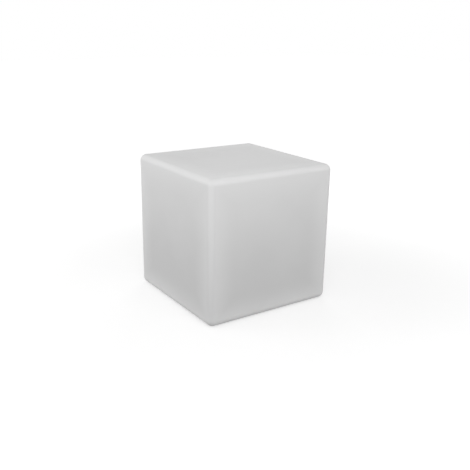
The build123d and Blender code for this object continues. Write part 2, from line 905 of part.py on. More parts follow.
with BuildPart() as port_plug:
    # cap with its pull tab and its half of the strap
    with BuildSketch(Plane.XY.offset(plug_seat_z)):
        with Locations((jack_x, board_y)):
            Circle(plug_cap_radius)
    extrude(amount=-plug_cap_thickness)
    chamfer(port_plug.edges().filter_by(GeomType.CIRCLE).group_by(Axis.Z)[0], plug_cap_edge)
    with BuildSketch(Plane.XY.offset(plug_seat_z)):
        with BuildLine():
            Line((jack_x, tab_front_y), (tab_shoulder_x, tab_front_y))
            ThreePointArc((tab_shoulder_x, tab_front_y), (tab_tip_x, board_y), (tab_shoulder_x, tab_back_y))
            Line((tab_shoulder_x, tab_back_y), (jack_x, tab_back_y))
            Line((jack_x, tab_back_y), (jack_x, tab_front_y))
        make_face()
        with Locations(((jack_x + hinge_x) / 2, board_y)):
            Rectangle(strap_reach, strap_width)
    extrude(amount=-strap_thickness)
    # rounded knuckle on the line where the strap bends
    with BuildSketch(Plane.XZ.offset(-board_y - strap_width / 2)):
        with Locations((hinge_x, hinge_z)):
            Circle(strap_thickness / 2)
    extrude(amount=strap_width)
    # tapered stub that fills the port's hole
    with BuildSketch(Plane.XY.offset(plug_seat_z)):
        with Locations((jack_x, board_y)):
            Circle(stub_radius)
    with BuildSketch(Plane.XY.offset(plug_seat_z + plug_gap + stub_length)):
        with Locations((jack_x, board_y)):
            Circle(stub_radius - stub_taper)
    loft()

port_plug.part.label = "port_plug"
export_step(port_plug.part, "parts/port_plug.step")

strap_end_x = hinge_x + strap_thickness / 2 + hinge_gap

with BuildPart() as port_strap:
    with BuildSketch(Plane.XY.offset(plug_seat_z)):
        with Locations(((strap_end_x + anchor_x) / 2, board_y)):
            Rectangle(anchor_x - strap_end_x, strap_width)
    extrude(amount=-strap_thickness)
    # anchor: a button under the plate, a neck through it and a barb over it
    with BuildSketch(Plane.XZ.offset(-board_y)):
        with BuildLine():
            Polyline(
                (anchor_x, plug_seat_z - strap_thickness),
                (anchor_x + anchor_radius, plug_seat_z - strap_thickness),
                (anchor_x + anchor_radius, plate_bottom),
                (anchor_x + anchor_post_radius, plate_bottom),
                (anchor_x + anchor_post_radius, plate_top),
                (anchor_x + barb_radius, plate_top),
                (anchor_x + anchor_post_radius, plate_top + barb_height),
                (anchor_x, plate_top + barb_height),
                close=True,
            )
        make_face()
    revolve(axis=Axis((anchor_x, board_y, 0), (0, 0, 1)))

port_strap.part.label = "port_strap"
export_step(port_strap.part, "parts/port_strap.step")

# ------------------------------------------------------------------ battery

with BuildPart() as battery_cells:
    with BuildSketch(Plane.YZ.offset(-cell_length / 2)):
        with Locations(*[(y, cell_z) for y in cell_centres]):
            Circle(cell_radius)
    extrude(amount=cell_length)
    chamfer(battery_cells.edges().filter_by(GeomType.CIRCLE), head_edge)

battery_cells.part.label = "battery_cells"
export_step(battery_cells.part, "parts/battery_cells.step")

with BuildPart() as cell_tabs:
    for plane in (Plane.YZ.offset(cell_length / 2), Plane.YZ.offset(-cell_length / 2 - tab_thickness)):
        with BuildSketch(plane):
            with Locations((battery_y, cell_z)):
                RectangleRounded(cell_pitch + tab_width, tab_width, tab_width / 4)
        extrude(amount=tab_thickness)

cell_tabs.part.label = "cell_tabs"
export_step(cell_tabs.part, "parts/cell_tabs.step")

with BuildPart() as battery_clamp:
    with BuildSketch(Plane.YZ.offset(-clamp_width / 2)):
        with Locations(*[(y, cell_z) for y in cell_centres]):
            Circle(cell_radius + clamp_thickness)
        with Locations((battery_y, clamp_post_top - cell_radius)):
            Rectangle(4 * clamp_post_offset, 2 * cell_radius, mode=Mode.SUBTRACT)
        with Locations((battery_y, clamp_post_top + clamp_foot_thickness / 2)):
            Rectangle(2 * (clamp_post_offset + clamp_post_radius), clamp_foot_thickness)
        with Locations(*[(y, cell_z) for y in cell_centres]):
            Circle(cell_radius + seat_gap, mode=Mode.SUBTRACT)
    extrude(amount=clamp_width)
    with BuildSketch(Plane.XY.offset(clamp_post_top)):
        with Locations(*clamp_post_places):
            Circle(small_screw_radius + screw_gap)
    extrude(amount=clamp_foot_thickness, mode=Mode.SUBTRACT)
    # room for the screws' heads beside the arches
    with BuildSketch(Plane.XY.offset(clamp_post_top + clamp_foot_thickness)):
        with Locations(*clamp_post_places):
            Circle(small_head_radius + screw_gap)
    extrude(amount=cell_radius, mode=Mode.SUBTRACT)

battery_clamp.part.label = "battery_clamp"
export_step(battery_clamp.part, "parts/battery_clamp.step")

with BuildPart() as clamp_screws:
    add(
        pan_screws(
            clamp_post_places,
            clamp_post_top + clamp_foot_thickness,
            small_screw_radius,
            small_screw_length,
            small_head_radius,
            small_head_height,
            upwards=False,
        )
    )

clamp_screws.part.label = "clamp_screws"
export_step(clamp_screws.part, "parts/clamp_screws.step")

# ------------------------------------------------------------------ leads

tab_face_x = cell_length / 2 + tab_thickness
lead_start_x = tab_face_x + battery_lead_radius
header_entry_y = header_y + header_width / 2
header_entry_z = board_top + header_height / 2


def battery_route(side, loop_x):
    """Corners of one battery lead, from its weld on the end tab to its contact in the header."""
    return [
        (side * lead_start_x, battery_y - lead_weld_reach, cell_z),
        (side * lead_start_x, battery_y - lead_straight_reach, cell_z),
        (side * (lead_start_x - lead_turn_in), battery_y - lead_turn_reach, cell_z + lead_turn_rise),
        (side * loop_x, header_entry_y + lead_loop_gap, header_entry_z + lead_loop_rise),
        (side * lead_gather_x, header_entry_y + lead_gather_gap, header_entry_z + lead_gather_rise),
        (side * lead_contact_x, header_entry_y + lead_entry_gap, header_entry_z),
        (side * lead_contact_x, header_entry_y, header_entry_z),
    ]


with BuildPart() as battery_leads:
    add(lead(battery_route(1, plus_loop_x), battery_lead_radius))
    add(lead(battery_route(-1, minus_loop_x), battery_lead_radius))

battery_leads.part.label = "battery_leads"
export_step(battery_leads.part, "parts/battery_leads.step")

lamp_route = [
    (lamp_header_x, header_y, board_top + header_height),
    (lamp_header_x, header_y, board_top + header_height + lamp_lead_rise),
    (lamp_header_x / 2 - lamp_lead_side, header_y / 2, deck_bottom - lamp_lead_sink),
    (0, 0, deck_bottom - lamp_lead_drop),
    (0, 0, spreader_top - lamp_connector_height),
]

with BuildPart() as lamp_lead:
    add(lead(lamp_route, lamp_lead_radius))

lamp_lead.part.label = "lamp_lead"
export_step(lamp_lead.part, "parts/lamp_lead.step")

# ------------------------------------------------------------------ lamps

with BuildPart() as heat_spreader:
    with BuildSketch(Plane.XY.offset(deck_top)):
        Circle(spreader_radius)
        Circle(deck_hole_radius, mode=Mode.SUBTRACT)
        with Locations(*lamp_screw_places):
            Circle(small_screw_radius + screw_gap, mode=Mode.SUBTRACT)
    extrude(amount=spreader_thickness)

heat_spreader.part.label = "heat_spreader"
export_step(heat_spreader.part, "parts/heat_spreader.step")

with BuildPart() as lamp_board:
    with BuildSketch(Plane.XY.offset(spreader_top)):
        Circle(lamp_board_radius)
        with Locations(*lamp_screw_places):
            Circle(small_screw_radius + screw_gap, mode=Mode.SUBTRACT)
    extrude(amount=lamp_board_thickness)

lamp_board.part.label = "lamp_board"
export_step(lamp_board.part, "parts/lamp_board.step")

with BuildPart() as led_chips:
    with BuildSketch(Plane.XY.offset(lamp_board_top)):
        with PolarLocations(outer_led_radius, outer_led_count):
            Rectangle(led_side, led_side)
        with PolarLocations(inner_led_radius, inner_led_count):
            Rectangle(led_side, led_side)
    extrude(amount=led_height)

led_chips.part.label = "led_chips"
export_step(led_chips.part, "parts/led_chips.step")

with BuildPart() as infrared_receiver:
    with BuildSketch(Plane.XY.offset(lamp_board_top)):
        Rectangle(receiver_width, receiver_depth)
    extrude(amount=receiver_height)
    fillet(infrared_receiver.edges().filter_by(Axis.Z), head_edge)
    with BuildSketch(Plane.XZ.offset(receiver_depth / 2)):
        with Locations((0, lamp_board_top + receiver_height / 2)):
            Circle(receiver_eye_radius)
    extrude(amount=receiver_eye_radius / 2)
    fillet(
        infrared_receiver.edges().filter_by(GeomType.CIRCLE).group_by(Axis.Y)[0],
        receiver_eye_radius / 2 - seat_gap,
    )

infrared_receiver.part.label = "infrared_receiver"
export_step(infrared_receiver.part, "parts/infrared_receiver.step")

with BuildPart() as lamp_connector:
    with BuildSketch(Plane.XY.offset(spreader_top)):
        Rectangle(lamp_connector_length, lamp_connector_width)
    extrude(amount=-lamp_connector_height)
    chamfer(lamp_connector.edges().filter_by(Axis.Z), head_edge)

lamp_connector.part.label = "lamp_connector"
export_step(lamp_connector.part, "parts/lamp_connector.step")

with BuildPart() as lamp_screws:
    add(
        pan_screws(
            lamp_screw_places,
            lamp_board_top,
            small_screw_radius,
            small_screw_length,
            small_head_radius,
            small_head_height,
            upwards=False,
        )
    )

lamp_screws.part.label = "lamp_screws"
export_step(lamp_screws.part, "parts/lamp_screws.step")

# ------------------------------------------------------------------ diffuser dome

with BuildPart() as dome_lens:
    with BuildSketch(Plane.XZ):
        with Locations((0, bowl_centre_z)):
            Circle(bowl_sphere)
        with Locations((0, deck_top + dome_flange_thickness / 2)):
            Rectangle(2 * dome_flange_radius, dome_flange_thickness)
        with Locations((0, bowl_centre_z)):
            Circle(bowl_sphere - dome_thickness, mode=Mode.SUBTRACT)
        with Locations((bowl_sphere, deck_top + bowl_sphere)):
            Rectangle(2 * bowl_sphere, 2 * bowl_sphere, mode=Mode.INTERSECT)
    revolve(axis=Axis.Z)
    with BuildSketch(Plane.XY.offset(deck_top)):
        with Locations(*dome_screw_places):
            Circle(small_screw_radius + screw_gap)
    extrude(amount=dome_flange_thickness, mode=Mode.SUBTRACT)

dome_lens.part.label = "dome_lens"
export_step(dome_lens.part, "parts/dome_lens.step")

with BuildPart() as dome_seal:
    with BuildSketch(Plane.XY.offset(deck_top)):
        Circle(dome_seal_inner + dome_seal_width)
        Circle(dome_seal_inner, mode=Mode.SUBTRACT)
    extrude(amount=-dome_seal_depth)

dome_seal.part.label = "dome_seal"
export_step(dome_seal.part, "parts/dome_seal.step")

with BuildPart() as dome_screws:
    add(
        pan_screws(
            dome_screw_places,
            deck_top + dome_flange_thickness,
            small_screw_radius,
            small_screw_length,
            small_head_radius,
            small_head_height,
            upwards=False,
        )
    )

dome_screws.part.label = "dome_screws"
export_step(dome_screws.part, "parts/dome_screws.step")
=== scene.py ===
import json
import math

import bmesh
import bpy
from mathutils import Matrix, Vector


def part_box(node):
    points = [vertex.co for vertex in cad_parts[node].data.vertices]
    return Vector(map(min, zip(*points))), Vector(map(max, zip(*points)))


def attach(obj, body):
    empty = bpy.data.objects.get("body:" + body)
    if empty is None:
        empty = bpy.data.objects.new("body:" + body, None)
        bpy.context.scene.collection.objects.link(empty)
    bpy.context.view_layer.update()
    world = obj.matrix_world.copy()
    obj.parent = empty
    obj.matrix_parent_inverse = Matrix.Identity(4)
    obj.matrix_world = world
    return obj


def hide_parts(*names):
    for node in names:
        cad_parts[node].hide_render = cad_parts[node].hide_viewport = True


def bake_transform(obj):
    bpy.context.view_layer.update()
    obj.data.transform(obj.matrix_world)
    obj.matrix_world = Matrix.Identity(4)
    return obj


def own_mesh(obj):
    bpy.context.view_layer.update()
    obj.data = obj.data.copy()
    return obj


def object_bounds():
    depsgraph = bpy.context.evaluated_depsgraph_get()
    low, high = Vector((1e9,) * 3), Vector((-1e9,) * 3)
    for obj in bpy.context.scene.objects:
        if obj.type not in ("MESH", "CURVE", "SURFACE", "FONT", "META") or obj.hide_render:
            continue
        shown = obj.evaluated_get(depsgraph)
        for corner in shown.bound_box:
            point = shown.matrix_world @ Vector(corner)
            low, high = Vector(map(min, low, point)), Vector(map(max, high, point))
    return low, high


bl_info = {
    "name": "LED Cube Light",
    "version": (1, 0, 0),
    "blender": (4, 5, 0),
    "location": "3D View > Sidebar > Cube Light",
    "description": "Dresses the packed LED cube light with its pieces, finishes and a plain studio stage",
    "category": "Object",
}

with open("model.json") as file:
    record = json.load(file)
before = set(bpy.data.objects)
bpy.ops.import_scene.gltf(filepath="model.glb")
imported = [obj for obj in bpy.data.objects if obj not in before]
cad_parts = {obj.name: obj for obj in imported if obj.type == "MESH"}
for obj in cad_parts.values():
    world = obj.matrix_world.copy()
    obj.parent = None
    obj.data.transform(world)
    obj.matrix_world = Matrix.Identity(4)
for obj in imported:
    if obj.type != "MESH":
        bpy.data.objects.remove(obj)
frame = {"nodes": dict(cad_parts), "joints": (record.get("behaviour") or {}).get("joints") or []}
cad_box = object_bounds()

CUBE = "cube"

joints = {joint["name"]: joint for joint in frame["joints"]}
strap_bend_x = joints["port_plug_hinge"]["pos_m"][0]

# Colours of the small parts
BRASS = (0.68, 0.50, 0.22)
BRIGHT_ZINC = (0.66, 0.67, 0.68)
SPRING_STEEL = (0.58, 0.59, 0.60)
NICKEL_STRIP = (0.62, 0.60, 0.55)
NICKEL_PLATE = (0.64, 0.62, 0.57)
ALUMINIUM = (0.70, 0.71, 0.72)
DARK_SEAL = (0.20, 0.21, 0.22)
OPAL = (0.74, 0.75, 0.75)
CLEAR = (0.90, 0.92, 0.93)
CELL_BLUE = (0.05, 0.16, 0.34)
CAPACITOR_BLUE = (0.02, 0.03, 0.07)
PLUS_RED = (0.50, 0.03, 0.02)
MINUS_BLACK = (0.02, 0.02, 0.02)
LAMP_JACKET = (0.62, 0.62, 0.61)
RESIN_BLACK = (0.02, 0.02, 0.022)
FERRITE_GREY = (0.06, 0.06, 0.065)
NYLON_CREAM = (0.66, 0.62, 0.50)
CHARGE_LAMP_CREAM = (0.70, 0.66, 0.46)
WHITE_LAMP_CREAM = (0.72, 0.70, 0.56)
BOARD_GREEN, TRACK_GREEN = (0.015, 0.10, 0.035), (0.05, 0.22, 0.08)
BOARD_WHITE, TRACK_WHITE = (0.74, 0.75, 0.74), (0.62, 0.63, 0.62)

# A screw's head and its cross recess, as shares of the head's radius or height
HEAD_ROUNDING = 0.35
HEAD_LAND = 0.22
RECESS_REACH = 0.52
RECESS_WAIST = 0.36
RECESS_TAPER = 0.72

# Where nearly all of a noise texture's values lie
NOISE_LOW, NOISE_HIGH = 0.3, 0.7

# The stage's soft lamps: name, place, the point that they face, diameter, the property with their power
LAMPS = (
    ("key_lamp", (-0.68, -1.06, 1.15), (-0.10, -0.10, 0.30), 0.7, "key_power"),
    ("back_lamp", (-1.6, 1.2, 1.3), (0.0, 0.0, 0.2), 1.4, "back_power"),
    ("side_lamp", (0.9, 1.2, 1.3), (0.0, 0.0, 0.3), 1.0, "side_power"),
    ("front_lamp", (0.4, -2.3, 0.5), (0.0, 0.0, 0.2), 1.2, "front_power"),
    ("left_lamp", (-2.2, 0.9, 0.35), (0.0, 0.0, 0.2), 1.0, "left_power"),
)
FLOOR_REACH = 12.0
SENSOR_WIDTH = 36.0


# ---------------- sizes and colours to change


def length_property(name, description, default, smallest=0.0, largest=0.1):
    return bpy.props.FloatProperty(
        name=name,
        description=description,
        subtype="DISTANCE",
        unit="LENGTH",
        precision=5,
        min=smallest,
        max=largest,
        default=default,
    )


def colour_property(name, description, default):
    return bpy.props.FloatVectorProperty(
        name=name, description=description, subtype="COLOR", size=3, min=0.0, max=1.0, default=default
    )


def share_property(name, description, default, smallest=0.0, largest=1.0):
    return bpy.props.FloatProperty(
        name=name, description=description, subtype="FACTOR", min=smallest, max=largest, default=default
    )


def power_property(name, description, default):
    return bpy.props.FloatProperty(
        name=name,
        description=description,
        subtype="POWER",
        unit="POWER",
        min=0.0,
        max=500.0,
        default=default,
    )


def angle_property(name, description, default):
    return bpy.props.FloatProperty(
        name=name, description=description, subtype="ANGLE", unit="ROTATION", default=default
    )


def grey(level):
    return (level, level, level)


class ShellLook(bpy.types.PropertyGroup):
    # Painted light and shade: the low colour is painted shade low on the sides, the high colour painted light
    # at the top, blended by height between fade from and fade stop
    painted_shade_colour: colour_property(
        "Low colour", "Frosted polyethylene low on the sides, where little daylight gets in", grey(0.60)
    )
    painted_light_colour: colour_property(
        "High colour", "Frosted polyethylene at the top, lit from inside through the other walls", grey(0.70)
    )
    # Painted highlight on the rounded edges
    painted_edge_highlight: colour_property(
        "Edge colour", "Frosted polyethylene on the rounded edges, where the skin is thickest", grey(0.82)
    )
    fade_from: length_property(
        "Fade from", "Height where the low colour starts to turn high", 0.09, largest=0.4
    )
    fade_stop: length_property("Fade stop", "How far under the top the high colour is reached", 0.03)
    # Painted bounce light from the floor on a band at the foot
    foot_height: length_property(
        "Foot height", "Height of the band that the ground brightens", 0.06, 0.001, 0.2
    )
    painted_bounce_share: share_property("Foot share", "How far the ground turns that band to the high colour", 0.5)
    cloud_share: share_property("Cloud share", "How much the tone wanders between low and high", 0.12)
    # Where the painted edge highlight lies, and how it grows from the ground to the top
    rounding_from: length_property("Rounding from", "Distance from a side where edge colour starts", 0.022)
    rounding_full: length_property("Rounding full", "Distance from a side where it is fully there", 0.006)
    painted_highlight_low: share_property("Edge share low", "Share of the edge colour on the edges near the ground", 0.40)
    painted_highlight_high: share_property("Edge share high", "Share of the edge colour on the edges at the top", 0.85)
    edge_rise: length_property("Edge rise", "Height where the edges start to get lighter", 0.04)
    # Painted light on each face beside its edges
    margin_reach: length_property(
        "Margin reach", "How far from an edge the light bent round it brightens a face", 0.085, 0.01, 0.2
    )
    painted_margin_share: share_property("Margin share", "Share of the edge colour on a face beside its edges", 0.40)
    scatter_share: share_property("Scatter share", "Share of the light that spreads inside the skin", 0.12)
    scatter_reach: length_property("Scatter reach", "How far that light spreads", 0.011)
    peel_depth: length_property("Peel depth", "Depth of the fine moulded texture", 0.00008, largest=0.001)
    roughness: share_property("Roughness", "How matte the moulded skin is", 0.58)


class FittingLook(bpy.types.PropertyGroup):
    pad_radius: length_property("Pad radius", "Radius of an anti-slip pad", 0.011, 0.004, 0.03)
    pad_groove: length_property(
        "Pad groove", "Depth of the grip rings in a pad's underside", 0.0004, largest=0.001
    )
    pad_colour: colour_property("Pad colour", "Milky anti-slip rubber", (0.50, 0.51, 0.50))
    plate_colour: colour_property(
        "Plate colour", "White plastic of the base plate, the can and the key", (0.66, 0.66, 0.65)
    )
    spring_wire: length_property("Spring wire", "Radius of the key spring's wire", 0.0003, 0.0001, 0.001)
    steel_colour: colour_property("Steel colour", "Stainless screws", (0.62, 0.63, 0.64))
    large_head_radius: length_property("Large head", "Radius of a flange screw's head", 0.0039)
    large_head_height: length_property("Large head height", "Height of a flange screw's head", 0.0024)
    large_shank: length_property("Large shank", "Radius of a flange screw's shank", 0.0020)
    small_head_radius: length_property("Small head", "Radius of a small screw's head", 0.0026)
    small_head_height: length_property("Small head height", "Height of a small screw's head", 0.0016)
    small_shank: length_property("Small shank", "Radius of a small screw's shank", 0.00125)
    drive_depth: share_property(
        "Drive depth", "Depth of the cross recess as a share of the head's height", 0.6, 0.1, 0.9
    )


class PlugLook(bpy.types.PropertyGroup):
    cap_radius: length_property("Cap radius", "Radius of the plug's cap", 0.008)
    cap_rounding: length_property("Cap rounding", "Rounding of the cap's rim", 0.0006)
    stub_radius: length_property("Stub radius", "Radius of the stub that fills the port", 0.0052)
    stub_taper: length_property("Stub taper", "How much the stub narrows", 0.0004)
    stub_wall: length_property("Stub wall", "Wall of the hollow stub", 0.0013)
    strap_width: length_property("Strap width", "Width of the strap", 0.004)
    strap_thickness: length_property("Strap thickness", "Thickness of strap and tab", 0.001)
    tab_half_width: length_property("Tab half width", "Half of the pull tab's width", 0.003)
    rib_pitch: length_property("Rib pitch", "Distance between the tab's grip ribs", 0.0011)
    rib_height: length_property("Rib height", "How far the ribs stand out", 0.00035)
    soft_edge: length_property("Soft edge", "Rounding of the strap's and tab's edges", 0.00025)
    step: length_property("Step", "How far strap and tab lie below the cap's and the button's faces", 0.00008)
    seat_gap: length_property("Seat gap", "Gap between cap and plate", 0.0003)
    hinge_x: length_property("Hinge place", "Where the strap bends, along X", strap_bend_x)
    bend_reach: length_property("Bend reach", "Half of the strap's length that bends", 0.0018)
    anchor_radius: length_property("Anchor radius", "Radius of the strap's button", 0.0032)
    anchor_neck: length_property("Anchor neck", "Radius of the neck through the plate", 0.0014)
    barb_radius: length_property("Barb radius", "Radius of the barb inside", 0.0023)
    barb_height: length_property("Barb height", "Height of the barb inside", 0.0015)
    colour: colour_property("Silicone colour", "Soft silicone of plug and strap", (0.52, 0.53, 0.53))


class StageLook(bpy.types.PropertyGroup):
    floor_colour: colour_property("Floor colour", "Plain pale floor", grey(0.50))
    near_white: share_property(
        "Near white", "White that the camera sees added near the object, low enough for a shadow", 0.575
    )
    far_white: share_property("Far white", "White added farther off, where less lamp light falls", 0.745)
    near_reach: length_property(
        "Near reach", "Distance up to which the near white holds", 0.45, largest=FLOOR_REACH
    )
    far_reach: length_property(
        "Far reach", "Distance from which the far white holds", 1.4, largest=FLOOR_REACH
    )
    sky_level: share_property("Sky level", "Strength of the even light from all round", 0.536, largest=2.0)
    key_power: power_property("Key power", "Power of the soft lamp over the front edge", 4.7)
    back_power: power_property("Back power", "Power of the large soft lamp behind on the left", 5.8)
    side_power: power_property("Side power", "Power of the weak soft lamp behind on the right", 3.9)
    front_power: power_property("Front power", "Power of the low soft lamp before the right face", 12.6)
    left_power: power_property("Left power", "Power of the low soft lamp before the left face", 13.3)
    camera_place: bpy.props.FloatVectorProperty(
        name="Camera place",
        description="Where the camera stands",
        subtype="TRANSLATION",
        unit="LENGTH",
        size=3,
        default=(-1.00604, -1.50052, 0.76440),
    )
    camera_yaw: angle_property("Camera yaw", "Turn to the right of straight ahead", 0.5955)
    camera_pitch: angle_property("Camera pitch", "Tilt above the horizon", -0.3166)
    camera_roll: angle_property("Camera roll", "Turn about the line of sight", 0.0154)
    lens: bpy.props.FloatProperty(
        name="Lens",
        description="Focal length in millimetres on a 36 mm wide sensor",
        subtype="NONE",
        min=10.0,
        max=300.0,
        default=49.30,
    )


# ---------------- making and placing pieces


def node_middle(node):
    low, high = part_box(node)
    return (low + high) / 2


def ring_places(radius, count, start=0.0):
    """Points on a circle round the cube's upright axis."""
    turns = [math.radians(start + 360 / count * k) for k in range(count)]
    return [(radius * math.cos(a), radius * math.sin(a)) for a in turns]


def quarter_turn(steps):
    return [math.radians(90 / steps * k) for k in range(steps + 1)]


def add_object(name, data):
    placed = bpy.data.objects.new(name, data)
    bpy.context.scene.collection.objects.link(placed)
    return placed


def make_piece(name, shape, body, material, stands_for=(), smooth=False):
    """Turns a bmesh into a piece that rides on a body and stands for the named nodes."""
    mesh = bpy.data.meshes.new(name)
    shape.to_mesh(mesh)
    shape.free()
    for face in mesh.polygons:
        face.use_smooth = smooth
    mesh.materials.append(material)
    piece = add_object(name, mesh)
    if body:
        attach(piece, body)
    if stands_for:
        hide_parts(*stands_for)
    return piece


def give_material(material, *nodes):
    """Puts a material on every slot of the nodes, which keep their own shapes."""
    for node in nodes:
        slots = frame["nodes"][node].data.materials
        if not slots:
            slots.append(material)
        for k in range(len(slots)):
            slots[k] = material


def close_up(shape):
    """Clears slivers and turns every face outwards."""
    bmesh.ops.dissolve_degenerate(shape, dist=1e-8, edges=shape.edges[:])
    bmesh.ops.recalc_face_normals(shape, faces=shape.faces[:])


def join(shape, form, place=(0.0, 0.0, 0.0)):
    """Adds a finished form to a shape at a place."""
    bmesh.ops.translate(form, vec=place, verts=form.verts[:])
    carrier = bpy.data.meshes.new("form")
    form.to_mesh(carrier)
    form.free()
    shape.from_mesh(carrier)
    bpy.data.meshes.remove(carrier)


def soften(form, edges, offset, segments, clamp=False):
    """Rounds edges."""
    bmesh.ops.bevel(
        form,
        geom=edges,
        offset=offset,
        offset_type="OFFSET",
        affect="EDGES",
        segments=segments,
        profile=0.5,
        material=-1,
        clamp_overlap=clamp,
    )


def drawn_face(form, face):
    """Extrudes a face and gives back the one that can be moved."""
    result = bmesh.ops.extrude_face_region(form, geom=[face])
    return next(g for g in result["geom"] if isinstance(g, bmesh.types.BMFace))


def wind(form, geom, steps, turns=1, rise=0.0, closed=False):
    """Spins geometry round the upright axis, perhaps rising by a height each turn."""
    return bmesh.ops.spin(
        form,
        geom=geom,
        cent=(0, 0, 0),
        axis=(0, 0, 1),
        dvec=(0, 0, rise / steps),
        angle=2 * math.pi * turns,
        steps=steps * turns,
        use_merge=closed,
        use_normal_flip=False,
        use_duplicate=False,
    )


def add_turned(shape, profile, centre, steps):
    """Spins (radius, height) points, from the middle out and back, round an upright line through centre."""
    form = bmesh.new()
    points = [form.verts.new((radius, 0.0, height)) for radius, height in profile]
    runs = [form.edges.new(pair) for pair in zip(points, points[1:])]
    wind(form, points + runs, steps, closed=True)
    bmesh.ops.remove_doubles(form, verts=form.verts[:], dist=1e-7)
    close_up(form)
    join(shape, form, (centre[0], centre[1], 0.0))


def add_bar(shape, xs, ys, zs, soft_edge, cuts=(), round_end=False):
    """A bar with softened edges and perhaps a round low-X end, cut across where it has to bend."""
    form = bmesh.new()
    bmesh.ops.create_cube(form, size=1.0)
    bmesh.ops.scale(form, vec=(xs[1] - xs[0], ys[1] - ys[0], zs[1] - zs[0]), verts=form.verts[:])
    middle = ((xs[0] + xs[1]) / 2, (ys[0] + ys[1]) / 2, (zs[0] + zs[1]) / 2)
    bmesh.ops.translate(form, vec=middle, verts=form.verts[:])
    if round_end:
        at_end = [e for e in form.edges if max(v.co.x for v in e.verts) < middle[0]]
        upright = [e for e in at_end if abs(e.verts[0].co.z - e.verts[1].co.z) > (zs[1] - zs[0]) / 2]
        # a little under half the width, so that the two roundings don't meet
        soften(form, upright, (ys[1] - ys[0]) * 0.49, 12)
    soften(form, [e for e in form.edges if e.calc_face_angle() > math.radians(60)], soft_edge, 2)
    for cut_x in cuts:
        everything = form.verts[:] + form.edges[:] + form.faces[:]
        bmesh.ops.bisect_plane(form, geom=everything, dist=1e-7, plane_co=(cut_x, 0, 0), plane_no=(1, 0, 0))
    close_up(form)
    join(shape, form)


def rounded_copy(node, rounding):
    """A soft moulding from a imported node's mesh: triangles merged into flat faces, sharp edges rounded."""
    shape = bmesh.new()
    shape.from_mesh(frame["nodes"][node].data)
    bmesh.ops.remove_doubles(shape, verts=shape.verts[:], dist=1e-6)
    bmesh.ops.recalc_face_normals(shape, faces=shape.faces[:])
    bmesh.ops.dissolve_limit(
        shape,
        angle_limit=math.radians(1),
        use_dissolve_boundaries=False,
        verts=shape.verts[:],
        edges=shape.edges[:],
    )
    sharp = [e for e in shape.edges if e.is_manifold and e.calc_face_angle() > math.radians(50)]
    soften(shape, sharp, rounding, 3, clamp=True)
    bmesh.ops.triangulate(shape, faces=[f for f in shape.faces if len(f.verts) > 4])
    return shape


def cross_outline(angle, radius):
    """Reach of a cross-shaped driver recess at an angle."""
    lobe = abs(math.cos(2 * angle)) ** 3
    return radius * (RECESS_WAIST + (1 - RECESS_WAIST) * lobe)


def add_screw(shape, place, seat, size, shank_length, drive_share, upwards):
    """A pan-head screw with a cross recess: size is (head radius, head height, shank radius)."""
    head_radius, head_height, shank_radius = size
    screw = bmesh.new()
    disc = bmesh.ops.create_circle(screw, cap_ends=True, segments=48, radius=head_radius)
    top = drawn_face(screw, disc["verts"][0].link_faces[0])
    bmesh.ops.translate(screw, vec=(0, 0, head_height), verts=top.verts)
    soften(screw, list(top.edges), head_height * HEAD_ROUNDING, 4)
    # the recess is sunk into the middle of the head's flat top
    top = max(screw.faces, key=lambda f: (f.calc_center_median().z, f.calc_area()))
    bmesh.ops.inset_region(screw, faces=[top], thickness=head_radius * HEAD_LAND, depth=0.0)
    top = max(screw.faces, key=lambda f: (len(f.verts), f.calc_center_median().z))
    for vert in top.verts:
        angle = math.atan2(vert.co.y, vert.co.x)
        reach = cross_outline(angle, head_radius * RECESS_REACH)
        vert.co.x = reach * math.cos(angle)
        vert.co.y = reach * math.sin(angle)
    floor = drawn_face(screw, top)
    bmesh.ops.translate(screw, vec=(0, 0, -head_height * drive_share), verts=floor.verts)
    bmesh.ops.scale(screw, vec=(RECESS_TAPER, RECESS_TAPER, 1.0), verts=floor.verts)
    bmesh.ops.delete(screw, geom=[top], context="FACES_ONLY")
    # the shank grows from the head's underside
    under = min(screw.faces, key=lambda f: f.calc_center_median().z)
    bmesh.ops.inset_region(screw, faces=[under], thickness=head_radius - shank_radius, depth=0.0)
    under = min(
        screw.faces, key=lambda f: (round(f.calc_center_median().z, 7), f.calc_center_median().xy.length)
    )
    tip = drawn_face(screw, under)
    bmesh.ops.translate(screw, vec=(0, 0, -shank_length), verts=tip.verts)
    bmesh.ops.delete(screw, geom=[under], context="FACES_ONLY")
    if upwards:
        over = Matrix.Rotation(math.pi, 3, "X")
        bmesh.ops.rotate(screw, cent=(0, 0, 0), matrix=over, verts=screw.verts[:])
    close_up(screw)
    join(shape, screw, (place[0], place[1], seat))


# ---------------- making materials


def toned(colour, share):
    """A colour made darker by a share under 1, or lighter by one over 1."""
    return tuple(c * share for c in colour)


